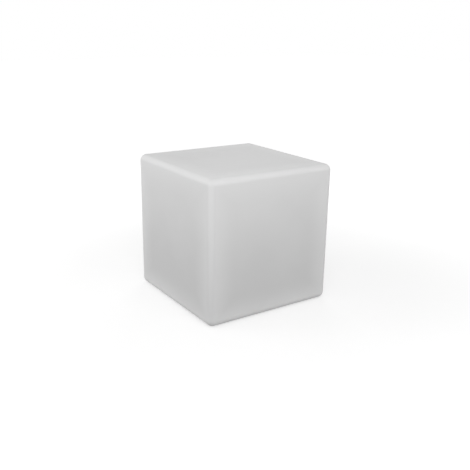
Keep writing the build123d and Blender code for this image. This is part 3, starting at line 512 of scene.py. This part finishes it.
class Finish:
    """A new material with its shader, object coordinates and short ways to add nodes."""

    def __init__(self, name, colour, roughness, metallic=0.0):
        self.material = bpy.data.materials.new(name)
        self.material.use_nodes = True
        self.nodes = self.material.node_tree.nodes
        self.links = self.material.node_tree.links
        self.shader = self.nodes["Principled BSDF"]
        self.set("Base Color", (*colour, 1.0))
        self.set("Roughness", roughness)
        self.set("Metallic", metallic)
        self.place = self.nodes.new("ShaderNodeTexCoord").outputs["Object"]

    def set(self, socket, value):
        self.shader.inputs[socket].default_value = value

    def scatter(self, share, reach):
        """Lets a share of the light spread under the surface, up to about a reach."""
        self.set("Subsurface Weight", share)
        self.set("Subsurface Radius", (reach, reach, reach))
        self.set("Subsurface Scale", 1.0)

    def math(self, operation, first, second=None, clamp=False):
        node = self.nodes.new("ShaderNodeMath")
        node.operation = operation
        node.use_clamp = clamp
        for socket, value in zip(node.inputs, (first, second)):
            if isinstance(value, (int, float)):
                socket.default_value = value
            elif value is not None:
                self.links.new(value, socket)
        return node.outputs[0]

    def spread(self, value, low, high, to_low=0.0, to_high=1.0, smooth=False):
        node = self.nodes.new("ShaderNodeMapRange")
        node.interpolation_type = "SMOOTHSTEP" if smooth else "LINEAR"
        for socket, amount in zip(list(node.inputs)[1:5], (low, high, to_low, to_high)):
            socket.default_value = amount
        self.links.new(value, node.inputs["Value"])
        return node.outputs["Result"]

    def noise(self, scale, detail=3.0, stretch=None):
        node = self.nodes.new("ShaderNodeTexNoise")
        node.inputs["Scale"].default_value = scale
        node.inputs["Detail"].default_value = detail
        place = self.place
        if stretch:
            mapping = self.nodes.new("ShaderNodeMapping")
            mapping.inputs["Scale"].default_value = stretch
            self.links.new(place, mapping.inputs["Vector"])
            place = mapping.outputs["Vector"]
        self.links.new(place, node.inputs["Vector"])
        return node.outputs["Fac"]

    def stretched(self, noise, to_low=0.0, to_high=1.0):
        """Takes a noise over its whole usual range."""
        return self.spread(noise, NOISE_LOW, NOISE_HIGH, to_low, to_high)

    def axes(self):
        node = self.nodes.new("ShaderNodeSeparateXYZ")
        self.links.new(self.place, node.inputs[0])
        return node.outputs

    def blend_colours(self, factor, first, second):
        node = self.nodes.new("ShaderNodeMix")
        node.data_type = "RGBA"
        sockets = [s for s in node.inputs if s.type == "RGBA"]
        self.links.new(factor, node.inputs[0])
        for socket, value in zip(sockets, (first, second)):
            if isinstance(value, bpy.types.NodeSocket):
                self.links.new(value, socket)
            else:
                socket.default_value = (*value, 1.0)
        return next(s for s in node.outputs if s.type == "RGBA")

    def colour_between(self, factor, first, second):
        self.links.new(self.blend_colours(factor, first, second), self.shader.inputs["Base Color"])

    def roughness_from(self, noise, low, high):
        self.links.new(self.stretched(noise, low, high), self.shader.inputs["Roughness"])

    def bump(self, height, depth, strength=1.0):
        node = self.nodes.new("ShaderNodeBump")
        node.inputs["Strength"].default_value = strength
        node.inputs["Distance"].default_value = depth
        self.links.new(height, node.inputs["Height"])
        old = self.shader.inputs["Normal"]
        if old.is_linked:
            self.links.new(old.links[0].from_socket, node.inputs["Normal"])
        self.links.new(node.outputs["Normal"], old)


def edge_nearness(finish, middle):
    """The second largest of a point's three distances from the cube's middle: half the side on an edge."""
    x, y, z = finish.axes()
    reaches = [finish.math("ABSOLUTE", reach) for reach in (x, y, finish.math("SUBTRACT", z, middle))]
    largest = finish.math("MAXIMUM", finish.math("MAXIMUM", *reaches[:2]), reaches[2])
    smallest = finish.math("MINIMUM", finish.math("MINIMUM", *reaches[:2]), reaches[2])
    total = finish.math("ADD", finish.math("ADD", *reaches[:2]), reaches[2])
    return finish.math("SUBTRACT", finish.math("SUBTRACT", total, largest), smallest)


def frosted_skin(look):
    """Rotomoulded skin with painted light and shade: painted light at the top and painted shade low on the
    sides, painted floor bounce at the foot, painted highlight on and beside every edge, clouded and finely
    peeled.
    """
    finish = Finish("frosted_skin", look.painted_shade_colour, look.roughness)
    top, half = cad_box[1].z, cad_box[1].x
    height = finish.axes()[2]
    # painted light at the top, painted shade lower down
    painted_top_light = finish.spread(height, look.fade_from, top - look.fade_stop, smooth=True)
    # painted bounce light from the floor on the lowest band
    foot = finish.spread(height, 0.0, look.foot_height, look.painted_bounce_share, 0.0, smooth=True)
    clouds = finish.stretched(finish.noise(6.0, detail=2.0), -look.cloud_share, look.cloud_share)
    # share of painted light over painted shade, with random clouds
    glow = finish.math("ADD", finish.math("ADD", painted_top_light, foot), clouds, clamp=True)
    painted_wall_light = finish.blend_colours(glow, tuple(look.painted_shade_colour), tuple(look.painted_light_colour))
    near = edge_nearness(finish, half)
    # painted highlight on the rounded edges, stronger towards the top
    rounded = finish.spread(near, half - look.rounding_from, half - look.rounding_full, smooth=True)
    painted_highlight_share = finish.spread(height, look.edge_rise, top, look.painted_highlight_low, look.painted_highlight_high)
    # painted light on the faces beside the edges
    painted_margin_light = finish.spread(near, half - look.margin_reach, half, 0.0, look.painted_margin_share, smooth=True)
    # the stronger of the painted edge highlight and the painted light beside it
    beside = finish.math("MAXIMUM", finish.math("MULTIPLY", rounded, painted_highlight_share), painted_margin_light)
    finish.colour_between(beside, painted_wall_light, tuple(look.painted_edge_highlight))
    finish.scatter(look.scatter_share, look.scatter_reach)
    finish.set("Specular IOR Level", 0.25)
    finish.roughness_from(finish.noise(60.0), look.roughness - 0.05, look.roughness + 0.06)
    finish.bump(finish.noise(900.0, detail=2.0), look.peel_depth, 0.5)
    finish.bump(finish.noise(55.0, detail=1.0), look.peel_depth * 3, 0.25)
    return finish.material


def textured_plastic(name, colour, roughness, grain=1400.0, depth=0.00004):
    """Moulded plastic with a fine spark texture and slightly uneven tone."""
    finish = Finish(name, colour, roughness)
    finish.colour_between(finish.stretched(finish.noise(40.0)), toned(colour, 0.93), tuple(colour))
    finish.roughness_from(finish.noise(160.0), roughness - 0.06, roughness + 0.08)
    finish.bump(finish.noise(grain, detail=2.0), depth, 0.6)
    return finish.material


def silicone(name, colour):
    """Soft silicone with a dusty, matte skin."""
    finish = Finish(name, colour, 0.62)
    dust = finish.spread(finish.noise(220.0, detail=4.0), 0.4, 0.75)
    finish.colour_between(dust, tuple(colour), toned(colour, 1.12))
    finish.set("Sheen Weight", 0.15)
    finish.scatter(0.08, 0.002)
    finish.bump(finish.noise(1100.0), 0.00002, 0.5)
    return finish.material


def turned_metal(name, colour, roughness):
    """Turned or drawn metal with fine rings and a little tarnish."""
    finish = Finish(name, colour, roughness, metallic=1.0)
    rings = finish.noise(900.0, detail=2.0, stretch=(0.15, 0.15, 4.0))
    tarnish = finish.spread(finish.noise(120.0, detail=4.0), 0.35, 0.75)
    finish.colour_between(tarnish, tuple(colour), toned(colour, 0.82))
    finish.roughness_from(rings, roughness - 0.08, roughness + 0.12)
    finish.bump(rings, 0.00001, 0.4)
    return finish.material


def sheet_metal(name, colour, roughness):
    """Rolled sheet with a faint grain along X."""
    finish = Finish(name, colour, roughness, metallic=1.0)
    grain = finish.noise(700.0, detail=3.0, stretch=(0.05, 1.0, 1.0))
    finish.colour_between(finish.stretched(grain), toned(colour, 0.88), tuple(colour))
    finish.roughness_from(grain, roughness - 0.08, roughness + 0.10)
    finish.bump(grain, 0.00001, 0.3)
    return finish.material


def solder_mask(name, colour, track_colour):
    """A lacquered board with tracks that show through the mask."""
    finish = Finish(name, colour, 0.35)
    tracks = finish.nodes.new("ShaderNodeTexBrick")
    tracks.inputs["Scale"].default_value = 240.0
    tracks.inputs["Mortar Size"].default_value = 0.09
    tracks.inputs["Mortar Smooth"].default_value = 0.1
    tracks.offset = 0.35
    finish.links.new(finish.place, tracks.inputs["Vector"])
    weave = finish.spread(finish.noise(90.0, detail=1.0), 0.45, 0.55)
    shown = finish.math("MULTIPLY", tracks.outputs["Fac"], weave)
    finish.colour_between(shown, tuple(colour), track_colour)
    finish.bump(shown, 0.00003, 0.5)
    finish.set("Coat Weight", 0.25)
    return finish.material


def shrunk_sleeve(name, colour, roughness=0.28):
    """Heat-shrunk sleeve, tight and slightly rippled."""
    finish = Finish(name, colour, roughness)
    ripple = finish.noise(70.0, detail=2.0, stretch=(1.0, 0.4, 0.4))
    finish.colour_between(finish.stretched(ripple), toned(colour, 0.86), tuple(colour))
    finish.roughness_from(ripple, roughness - 0.06, roughness + 0.10)
    finish.bump(ripple, 0.00015, 0.3)
    return finish.material


def lead_insulation(name, plus, minus):
    """Insulation of the battery leads: one colour right of the battery's middle, the other left of it."""
    finish = Finish(name, plus, 0.38)
    finish.colour_between(finish.math("GREATER_THAN", finish.axes()[0], 0.0), minus, plus)
    finish.bump(finish.noise(500.0), 0.00002, 0.4)
    return finish.material


def polished_acrylic(name, colour):
    """Polished clear rod with a few flow marks."""
    finish = Finish(name, colour, 0.06)
    finish.set("Transmission Weight", 0.9)
    finish.set("IOR", 1.49)
    finish.roughness_from(finish.noise(300.0), 0.04, 0.12)
    finish.bump(finish.noise(250.0), 0.00002, 0.2)
    return finish.material


def opal_diffuser(name, colour):
    """Milky polycarbonate that scatters the lamps' light."""
    finish = Finish(name, colour, 0.30)
    cloud = finish.stretched(finish.noise(9.0, detail=1.0))
    finish.colour_between(cloud, toned(colour, 0.98), tuple(colour))
    finish.scatter(0.35, 0.006)
    finish.roughness_from(finish.noise(25.0, detail=1.0), 0.28, 0.33)
    finish.bump(finish.noise(1600.0), 0.00001, 0.4)
    return finish.material


# ---------------- operators, one for each piece or group


class OBJECT_OT_finish_cube_shell(bpy.types.Operator):
    """Give the moulded cube its frosted skin"""

    bl_idname = "cube_light.finish_cube_shell"
    bl_label = "Cube shell"

    def execute(self, context):
        give_material(frosted_skin(context.scene.cube_shell_look), "cube_shell")
        return {"FINISHED"}


class OBJECT_OT_build_foot_pads(bpy.types.Operator):
    """Mould the four anti-slip pads with grip rings in their undersides"""

    bl_idname = "cube_light.build_foot_pads"
    bl_label = "Foot pads"

    def execute(self, context):
        look = context.scene.cube_fitting_look
        low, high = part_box("foot_pads")
        radius, groove = look.pad_radius, look.pad_groove
        thickness = high.z - low.z
        reach = high.x - radius
        # as shares of the radius: the dimple in the middle, then each ring groove, its flanks and floor
        profile = [(0.0, groove), (radius * 0.18, groove), (radius * 0.22, 0.0)]
        flank, floor = 0.03, 0.06
        for share in (0.40, 0.66):
            profile += [
                (radius * share, 0.0),
                (radius * (share + flank), groove),
                (radius * (share + flank + floor), groove),
                (radius * (share + 2 * flank + floor), 0.0),
            ]
        edge = thickness * 0.27
        for angle in quarter_turn(6):
            profile.append((radius - edge + edge * math.sin(angle), edge - edge * math.cos(angle)))
        profile += [(radius, thickness), (0.0, thickness)]
        shape = bmesh.new()
        for sx in (-1, 1):
            for sy in (-1, 1):
                add_turned(shape, profile, (sx * reach, sy * reach), steps=72)
        close_up(shape)
        material = silicone("milky_rubber", tuple(look.pad_colour))
        make_piece("anti_slip_pads", shape, CUBE, material, ("foot_pads",))
        return {"FINISHED"}


class OBJECT_OT_finish_module_plastics(bpy.types.Operator):
    """Give the plate, the can, the key, its retainer, the clamp and the clear parts their moulded textures"""

    bl_idname = "cube_light.finish_module_plastics"
    bl_label = "Module plastics"

    def execute(self, context):
        colour = tuple(context.scene.cube_fitting_look.plate_colour)
        plate = textured_plastic("spark_textured_abs", colour, 0.46)
        key = textured_plastic("smooth_acetal", toned(colour, 1.04), 0.34, grain=500.0, depth=0.00001)
        give_material(plate, "base_plate", "housing_can")
        give_material(key, "power_button", "button_retainer", "battery_clamp")
        give_material(opal_diffuser("opal_diffuser", OPAL), "dome_lens")
        give_material(polished_acrylic("polished_acrylic", CLEAR), "light_pipe")
        return {"FINISHED"}


class OBJECT_OT_build_screws(bpy.types.Operator):
    """Turn every screw with its cross recess: flange, can, board, clamp, lamp and dome screws"""

    bl_idname = "cube_light.build_screws"
    bl_label = "Screws"

    def execute(self, context):
        look = context.scene.cube_fitting_look
        stainless = turned_metal("turned_stainless", tuple(look.steel_colour), 0.30)
        zinc = turned_metal("turned_zinc_steel", BRIGHT_ZINC, 0.26)
        large = (look.large_head_radius, look.large_head_height, look.large_shank)
        small = (look.small_head_radius, look.small_head_height, look.small_shank)
        sets = (
            ("flange_screws", large, self.ring_of("flange_screws", large, 6, 30), stainless, "stainless"),
            ("can_screws", small, self.ring_of("can_screws", small, 4), stainless, "stainless"),
            ("board_screws", small, self.corners_of("board_screws", small), zinc, "zinc_steel"),
            ("clamp_screws", small, self.ends_of("clamp_screws", small), zinc, "zinc_steel"),
            ("lamp_screws", small, self.corners_of("lamp_screws", small), zinc, "zinc_steel"),
            ("dome_screws", small, self.corners_of("dome_screws", small), zinc, "zinc_steel"),
        )
        for node, size, places, material, slot in sets:
            low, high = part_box(node)
            head_height = size[1]
            shank_length = high.z - low.z - head_height
            upwards = node in ("flange_screws", "can_screws")
            seat = low.z + head_height if upwards else high.z - head_height
            shape = bmesh.new()
            for place in places:
                add_screw(shape, place, seat, size, shank_length, look.drive_depth, upwards)
            make_piece(node + "_turned", shape, CUBE, material, (node,))
        give_material(turned_metal("knurled_brass", BRASS, 0.32), "threaded_inserts")
        return {"FINISHED"}

    def ring_of(self, node, size, count, start=0.0):
        """Places of a node's screws that stand on a ring."""
        return ring_places(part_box(node)[1].y - size[0], count, start)

    def corners_of(self, node, size):
        """Places of a node's four screws that stand at the corners of a rectangle."""
        low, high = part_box(node)
        radius = size[0]
        ends_x, ends_y = (low.x + radius, high.x - radius), (low.y + radius, high.y - radius)
        return [(x, y) for x in ends_x for y in ends_y]

    def ends_of(self, node, size):
        """Places of a node's two screws, one at each end along Y."""
        low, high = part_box(node)
        radius = size[0]
        return [(node_middle(node).x, y) for y in (low.y + radius, high.y - radius)]


class OBJECT_OT_build_seals(bpy.types.Operator):
    """Mould the flange gasket and the two seals with rounded edges"""

    bl_idname = "cube_light.build_seals"
    bl_label = "Gasket and seals"

    def execute(self, context):
        rubber = silicone("dark_seal_silicone", DARK_SEAL)
        for node, rounding in (("flange_gasket", 0.0005), ("can_seal", 0.00025), ("dome_seal", 0.0003)):
            shape = rounded_copy(node, rounding)
            make_piece(node + "_moulded", shape, CUBE, rubber, (node,))
        return {"FINISHED"}


class OBJECT_OT_build_port_plug(bpy.types.Operator):
    """Mould the charging port's plug, tab, strap and anchor as one soft piece, with its strap cut finely
    across at the hinge
    """

    bl_idname = "cube_light.build_port_plug"
    bl_label = "Port plug"

    def execute(self, context):
        look = context.scene.cube_plug_look
        low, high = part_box("port_plug")
        strap_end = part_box("port_strap")[1]
        middle_y = (low.y + high.y) / 2
        cap_x = node_middle("jack_body").x
        anchor_x = strap_end.x - look.anchor_radius
        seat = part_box("base_plate")[0].z - look.seat_gap
        shape = bmesh.new()
        self.add_cap(shape, look, (cap_x, middle_y), low.z, seat, high.z)
        self.add_tongue(shape, look, (low.x, cap_x), middle_y, seat)
        self.add_strap(shape, look, (cap_x, anchor_x), middle_y, seat)
        self.add_anchor(shape, look, (anchor_x, middle_y), seat, strap_end.z)
        close_up(shape)
        material = silicone("soft_plug_silicone", tuple(look.colour))
        nodes = ("port_plug", "port_strap")
        piece = make_piece("plug_and_strap", shape, None, material, nodes)
        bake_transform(piece)
        return {"FINISHED"}

    def add_cap(self, shape, look, centre, bottom, seat, top):
        """Cap with a rounded rim and a moulded ring, and the hollow, ribbed stub that fills the port."""
        radius = look.cap_radius
        ring = radius * 0.62
        step = look.cap_rounding
        profile = [(0.0, bottom + step), (ring - 2 * step, bottom + step), (ring - step, bottom)]
        for angle in quarter_turn(6):
            profile.append((radius - step + step * math.sin(angle), bottom + step - step * math.cos(angle)))
        profile += [(radius, seat - step / 2), (radius - step / 2, seat), (look.stub_radius, seat)]
        # three sealing ribs, placed by shares of the stub's height
        reach = top - seat
        waist = look.stub_radius - look.stub_taper * 0.6
        for k in range(3):
            foot = seat + reach * (0.28 + 0.22 * k)
            profile += [(waist, foot), (look.stub_radius, foot + reach * 0.05), (waist, foot + reach * 0.12)]
        inner = look.stub_radius - look.stub_wall
        hollow_floor = seat + reach * 0.1
        profile += [
            (look.stub_radius - look.stub_taper, top - reach * 0.06),
            (look.stub_radius - look.stub_taper * 2, top),
            (inner, top),
            (inner - look.stub_taper / 2, hollow_floor),
            (0.0, hollow_floor),
        ]
        add_turned(shape, profile, centre, steps=72)

    def add_tongue(self, shape, look, span, middle_y, seat):
        """Pull tab with a round end and three grip ribs."""
        half = look.tab_half_width
        thick = look.strap_thickness
        edge = look.soft_edge
        heights = (seat - thick, seat - look.step)
        add_bar(shape, span, (middle_y - half, middle_y + half), heights, edge, round_end=True)
        rib_width = look.rib_pitch / 2
        across = half * 0.66
        heights = (seat - thick - look.rib_height, seat - thick / 2)
        for k in range(3):
            rib_x = span[0] + look.rib_pitch * (k + 1)
            rib = (rib_x, rib_x + rib_width)
            add_bar(shape, rib, (middle_y - across, middle_y + across), heights, edge / 2)

    def add_strap(self, shape, look, span, middle_y, seat):
        """Strap from cap to anchor, cut finely a little past both ends of the bend."""
        half = look.strap_width / 2
        cuts = [look.hinge_x + look.bend_reach * 1.1 * (k / 8 - 1) for k in range(17)]
        heights = (seat - look.strap_thickness + look.step / 2, seat - look.step / 2)
        add_bar(shape, span, (middle_y - half, middle_y + half), heights, look.soft_edge, cuts)

    def add_anchor(self, shape, look, centre, seat, top):
        """Button under the plate, neck through it and barb over it."""
        plate_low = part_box("base_plate")[0].z
        barb_foot = top - look.barb_height
        button_low = seat - look.strap_thickness
        step = look.soft_edge
        profile = [
            (0.0, button_low),
            (look.anchor_radius - step, button_low),
            (look.anchor_radius, button_low + step),
            (look.anchor_radius, plate_low - step),
            (look.anchor_radius - step, plate_low),
            (look.anchor_neck, plate_low),
            (look.anchor_neck, barb_foot),
            (look.barb_radius - step, barb_foot),
            (look.barb_radius, barb_foot + step),
            (look.anchor_neck, top - step),
            (look.anchor_neck - step, top),
            (0.0, top),
        ]
        add_turned(shape, profile, centre, steps=48)


class OBJECT_OT_build_button_spring(bpy.types.Operator):
    """Wind the key's return spring from round wire, with closed end coils"""

    bl_idname = "cube_light.build_button_spring"
    bl_label = "Button spring"

    def execute(self, context):
        low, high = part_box("button_spring")
        centre = node_middle("button_spring")
        height = high.z - low.z
        wire = context.scene.cube_fitting_look.spring_wire
        coil = (high.x - low.x) / 2 - wire
        closed_rise = wire * 2.1
        open_turns = 3
        open_rise = (height - 2 * wire - 2 * closed_rise) / open_turns
        steps = 40
        shape = bmesh.new()
        ring = bmesh.ops.create_circle(shape, cap_ends=True, segments=12, radius=wire)
        upright = Matrix.Rotation(math.pi / 2, 3, "X")
        bmesh.ops.rotate(shape, cent=(0, 0, 0), matrix=upright, verts=ring["verts"])
        bmesh.ops.translate(shape, vec=(coil, 0.0, low.z + wire), verts=ring["verts"])
        front = list(shape.faces)
        start = front[0]
        for turns, rise in ((1, closed_rise), (open_turns, open_rise), (1, closed_rise)):
            wound = wind(shape, front, steps, turns, rise)
            # the face that the wire went on from is inside it now
            bmesh.ops.delete(shape, geom=[f for f in front if f != start], context="FACES_ONLY")
            front = [g for g in wound["geom_last"] if isinstance(g, bmesh.types.BMFace)]
        bmesh.ops.translate(shape, vec=(centre.x, centre.y, 0.0), verts=shape.verts[:])
        close_up(shape)
        steel = turned_metal("spring_steel", SPRING_STEEL, 0.28)
        piece = make_piece("return_spring", shape, CUBE, steel, ("button_spring",), smooth=True)
        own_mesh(piece)
        return {"FINISHED"}


class OBJECT_OT_finish_battery(bpy.types.Operator):
    """Sleeve the cells and finish their tabs and leads"""

    bl_idname = "cube_light.finish_battery"
    bl_label = "Battery"

    def execute(self, context):
        jacket = textured_plastic("lamp_jacket", LAMP_JACKET, 0.40, grain=600.0, depth=0.00002)
        give_material(shrunk_sleeve("shrunk_cell_sleeve", CELL_BLUE), "battery_cells")
        give_material(sheet_metal("nickel_strip", NICKEL_STRIP, 0.34), "cell_tabs")
        give_material(lead_insulation("battery_insulation", PLUS_RED, MINUS_BLACK), "battery_leads")
        give_material(jacket, "lamp_lead")
        return {"FINISHED"}


class OBJECT_OT_finish_control_board(bpy.types.Operator):
    """Finish the control board, its chips, inductor, capacitors, headers, switch and charging socket"""

    bl_idname = "cube_light.finish_control_board"
    bl_label = "Control board"

    def execute(self, context):
        resin = textured_plastic("moulded_resin", RESIN_BLACK, 0.42, grain=2500.0)
        nylon = textured_plastic("moulded_nylon", NYLON_CREAM, 0.36)
        ferrite = textured_plastic("sintered_ferrite", FERRITE_GREY, 0.62, grain=900.0)
        charge_lamp = textured_plastic("charge_lamp_package", CHARGE_LAMP_CREAM, 0.20, grain=300.0)
        give_material(solder_mask("green_solder_mask", BOARD_GREEN, TRACK_GREEN), "control_board")
        give_material(resin, "board_chips", "tact_switch", "switch_plunger", "jack_body", "infrared_receiver")
        give_material(nylon, "board_headers", "lamp_connector")
        give_material(ferrite, "power_inductor")
        give_material(shrunk_sleeve("shrunk_capacitor_sleeve", CAPACITOR_BLUE), "filter_capacitors")
        give_material(turned_metal("nickel_plate", NICKEL_PLATE, 0.20), "jack_pin")
        give_material(charge_lamp, "charge_lamp")
        return {"FINISHED"}


class OBJECT_OT_finish_lamps(bpy.types.Operator):
    """Finish the lamp board, its spreader and the lamps"""

    bl_idname = "cube_light.finish_lamps"
    bl_label = "Lamps"

    def execute(self, context):
        give_material(sheet_metal("rolled_aluminium", ALUMINIUM, 0.36), "heat_spreader")
        give_material(solder_mask("white_solder_mask", BOARD_WHITE, TRACK_WHITE), "lamp_board")
        package = textured_plastic("white_lamp_package", WHITE_LAMP_CREAM, 0.22, grain=400.0)
        give_material(package, "led_chips")
        return {"FINISHED"}


class OBJECT_OT_set_stage(bpy.types.Operator):
    """Set the pale floor, the soft lamps and the camera"""

    bl_idname = "cube_light.set_stage"
    bl_label = "Stage"

    def execute(self, context):
        look = context.scene.cube_stage_look
        self.lay_floor(look)
        self.light_sky(look)
        for name, place, aim, size, power in LAMPS:
            self.hang_lamp(name, place, aim, size, getattr(look, power))
        self.place_camera(look)
        context.scene.view_settings.view_transform = "Standard"
        return {"FINISHED"}

    def lay_floor(self, look):
        shape = bmesh.new()
        bmesh.ops.create_grid(shape, x_segments=1, y_segments=1, size=FLOOR_REACH)
        floor = make_piece("studio_floor", shape, None, self.floor_paint(look), smooth=True)

    def floor_paint(self, look):
        """Matte paint that lights the object as it is, and that the camera sees with white added."""
        paint = Finish("studio_floor", look.floor_colour, 1.0)
        paint.set("Specular IOR Level", 0.0)
        nodes, links = paint.nodes, paint.links
        away = nodes.new("ShaderNodeVectorMath")
        away.operation = "LENGTH"
        links.new(paint.place, away.inputs[0])
        reaches, whites = (look.near_reach, look.far_reach), (look.near_white, look.far_white)
        white = paint.spread(away.outputs["Value"], *reaches, *whites, smooth=True)
        glow = nodes.new("ShaderNodeEmission")
        links.new(white, glow.inputs["Strength"])
        both = nodes.new("ShaderNodeAddShader")
        links.new(paint.shader.outputs[0], both.inputs[0])
        links.new(glow.outputs[0], both.inputs[1])
        self.show_when_seen(nodes, links, paint.shader, both, nodes["Material Output"])
        return paint.material

    def light_sky(self, look):
        """An even white sky that lights the object at its own level, and that the camera sees as white."""
        sky = bpy.data.worlds.new("studio_sky")
        bpy.context.scene.world = sky
        sky.use_nodes = True
        nodes, links = sky.node_tree.nodes, sky.node_tree.links
        lit = nodes["Background"]
        shown = nodes.new("ShaderNodeBackground")
        for background, strength in ((lit, look.sky_level), (shown, 1.0)):
            background.inputs["Color"].default_value = (1.0, 1.0, 1.0, 1.0)
            background.inputs["Strength"].default_value = strength
        self.show_when_seen(nodes, links, lit, shown, nodes["World Output"])

    def show_when_seen(self, nodes, links, lighting, seen, output):
        """Uses one shader where the camera, a mirror or clear plastic looks, and the other as light."""
        path = nodes.new("ShaderNodeLightPath")
        looks = path.outputs["Is Camera Ray"]
        for ray in ("Is Glossy Ray", "Is Transmission Ray"):
            either = nodes.new("ShaderNodeMath")
            either.operation = "MAXIMUM"
            links.new(looks, either.inputs[0])
            links.new(path.outputs[ray], either.inputs[1])
            looks = either.outputs[0]
        choose = nodes.new("ShaderNodeMixShader")
        links.new(looks, choose.inputs[0])
        links.new(lighting.outputs[0], choose.inputs[1])
        links.new(seen.outputs[0], choose.inputs[2])
        links.new(choose.outputs[0], output.inputs["Surface"])

    def hang_lamp(self, name, place, aim, size, power):
        lamp = bpy.data.lights.new(name, "AREA")
        lamp.shape = "DISK"
        lamp.size = size
        lamp.energy = power
        holder = add_object(name, lamp)
        holder.location = place
        holder.rotation_euler = (Vector(aim) - Vector(place)).to_track_quat("-Z", "Y").to_euler()
        holder.visible_camera = False

    def place_camera(self, look):
        yaw, pitch, roll = look.camera_yaw, look.camera_pitch, look.camera_roll
        ahead = Vector((math.sin(yaw) * math.cos(pitch), math.cos(yaw) * math.cos(pitch), math.sin(pitch)))
        level = Vector((math.cos(yaw), -math.sin(yaw), 0.0))
        upright = level.cross(ahead)
        right = level * math.cos(roll) + upright * math.sin(roll)
        up = upright * math.cos(roll) - level * math.sin(roll)
        turn = Matrix((right, up, -ahead)).transposed()
        camera = bpy.data.cameras.new("photo_camera")
        camera.sensor_width = SENSOR_WIDTH
        camera.lens = look.lens
        holder = add_object("photo_camera", camera)
        holder.matrix_world = Matrix.Translation(look.camera_place) @ turn.to_4x4()
        bpy.context.scene.camera = holder


class VIEW3D_PT_cube_light(bpy.types.Panel):
    """Lists the steps that dress the cube light"""

    bl_label = "Cube Light"
    bl_idname = "VIEW3D_PT_cube_light"
    bl_space_type = "VIEW_3D"
    bl_region_type = "UI"
    bl_category = "Cube Light"

    def draw(self, context):
        for step in STEPS:
            self.layout.operator(step.bl_idname)


STEPS = (
    OBJECT_OT_finish_cube_shell,
    OBJECT_OT_build_foot_pads,
    OBJECT_OT_finish_module_plastics,
    OBJECT_OT_build_screws,
    OBJECT_OT_build_seals,
    OBJECT_OT_build_port_plug,
    OBJECT_OT_build_button_spring,
    OBJECT_OT_finish_battery,
    OBJECT_OT_finish_control_board,
    OBJECT_OT_finish_lamps,
    OBJECT_OT_set_stage,
)
LOOKS = (
    ("cube_shell_look", ShellLook),
    ("cube_fitting_look", FittingLook),
    ("cube_plug_look", PlugLook),
    ("cube_stage_look", StageLook),
)


def register():
    for name, look in LOOKS:
        bpy.utils.register_class(look)
        setattr(bpy.types.Scene, name, bpy.props.PointerProperty(type=look))
    for step in STEPS:
        bpy.utils.register_class(step)
    bpy.utils.register_class(VIEW3D_PT_cube_light)


def unregister():
    bpy.utils.unregister_class(VIEW3D_PT_cube_light)
    for step in reversed(STEPS):
        bpy.utils.unregister_class(step)
    for name, look in reversed(LOOKS):
        delattr(bpy.types.Scene, name)
        bpy.utils.unregister_class(look)


def main():
    register()
    for step in STEPS:
        group, name = step.bl_idname.split(".")
        getattr(getattr(bpy.ops, group), name)()


if __name__ == "__main__":
    main()
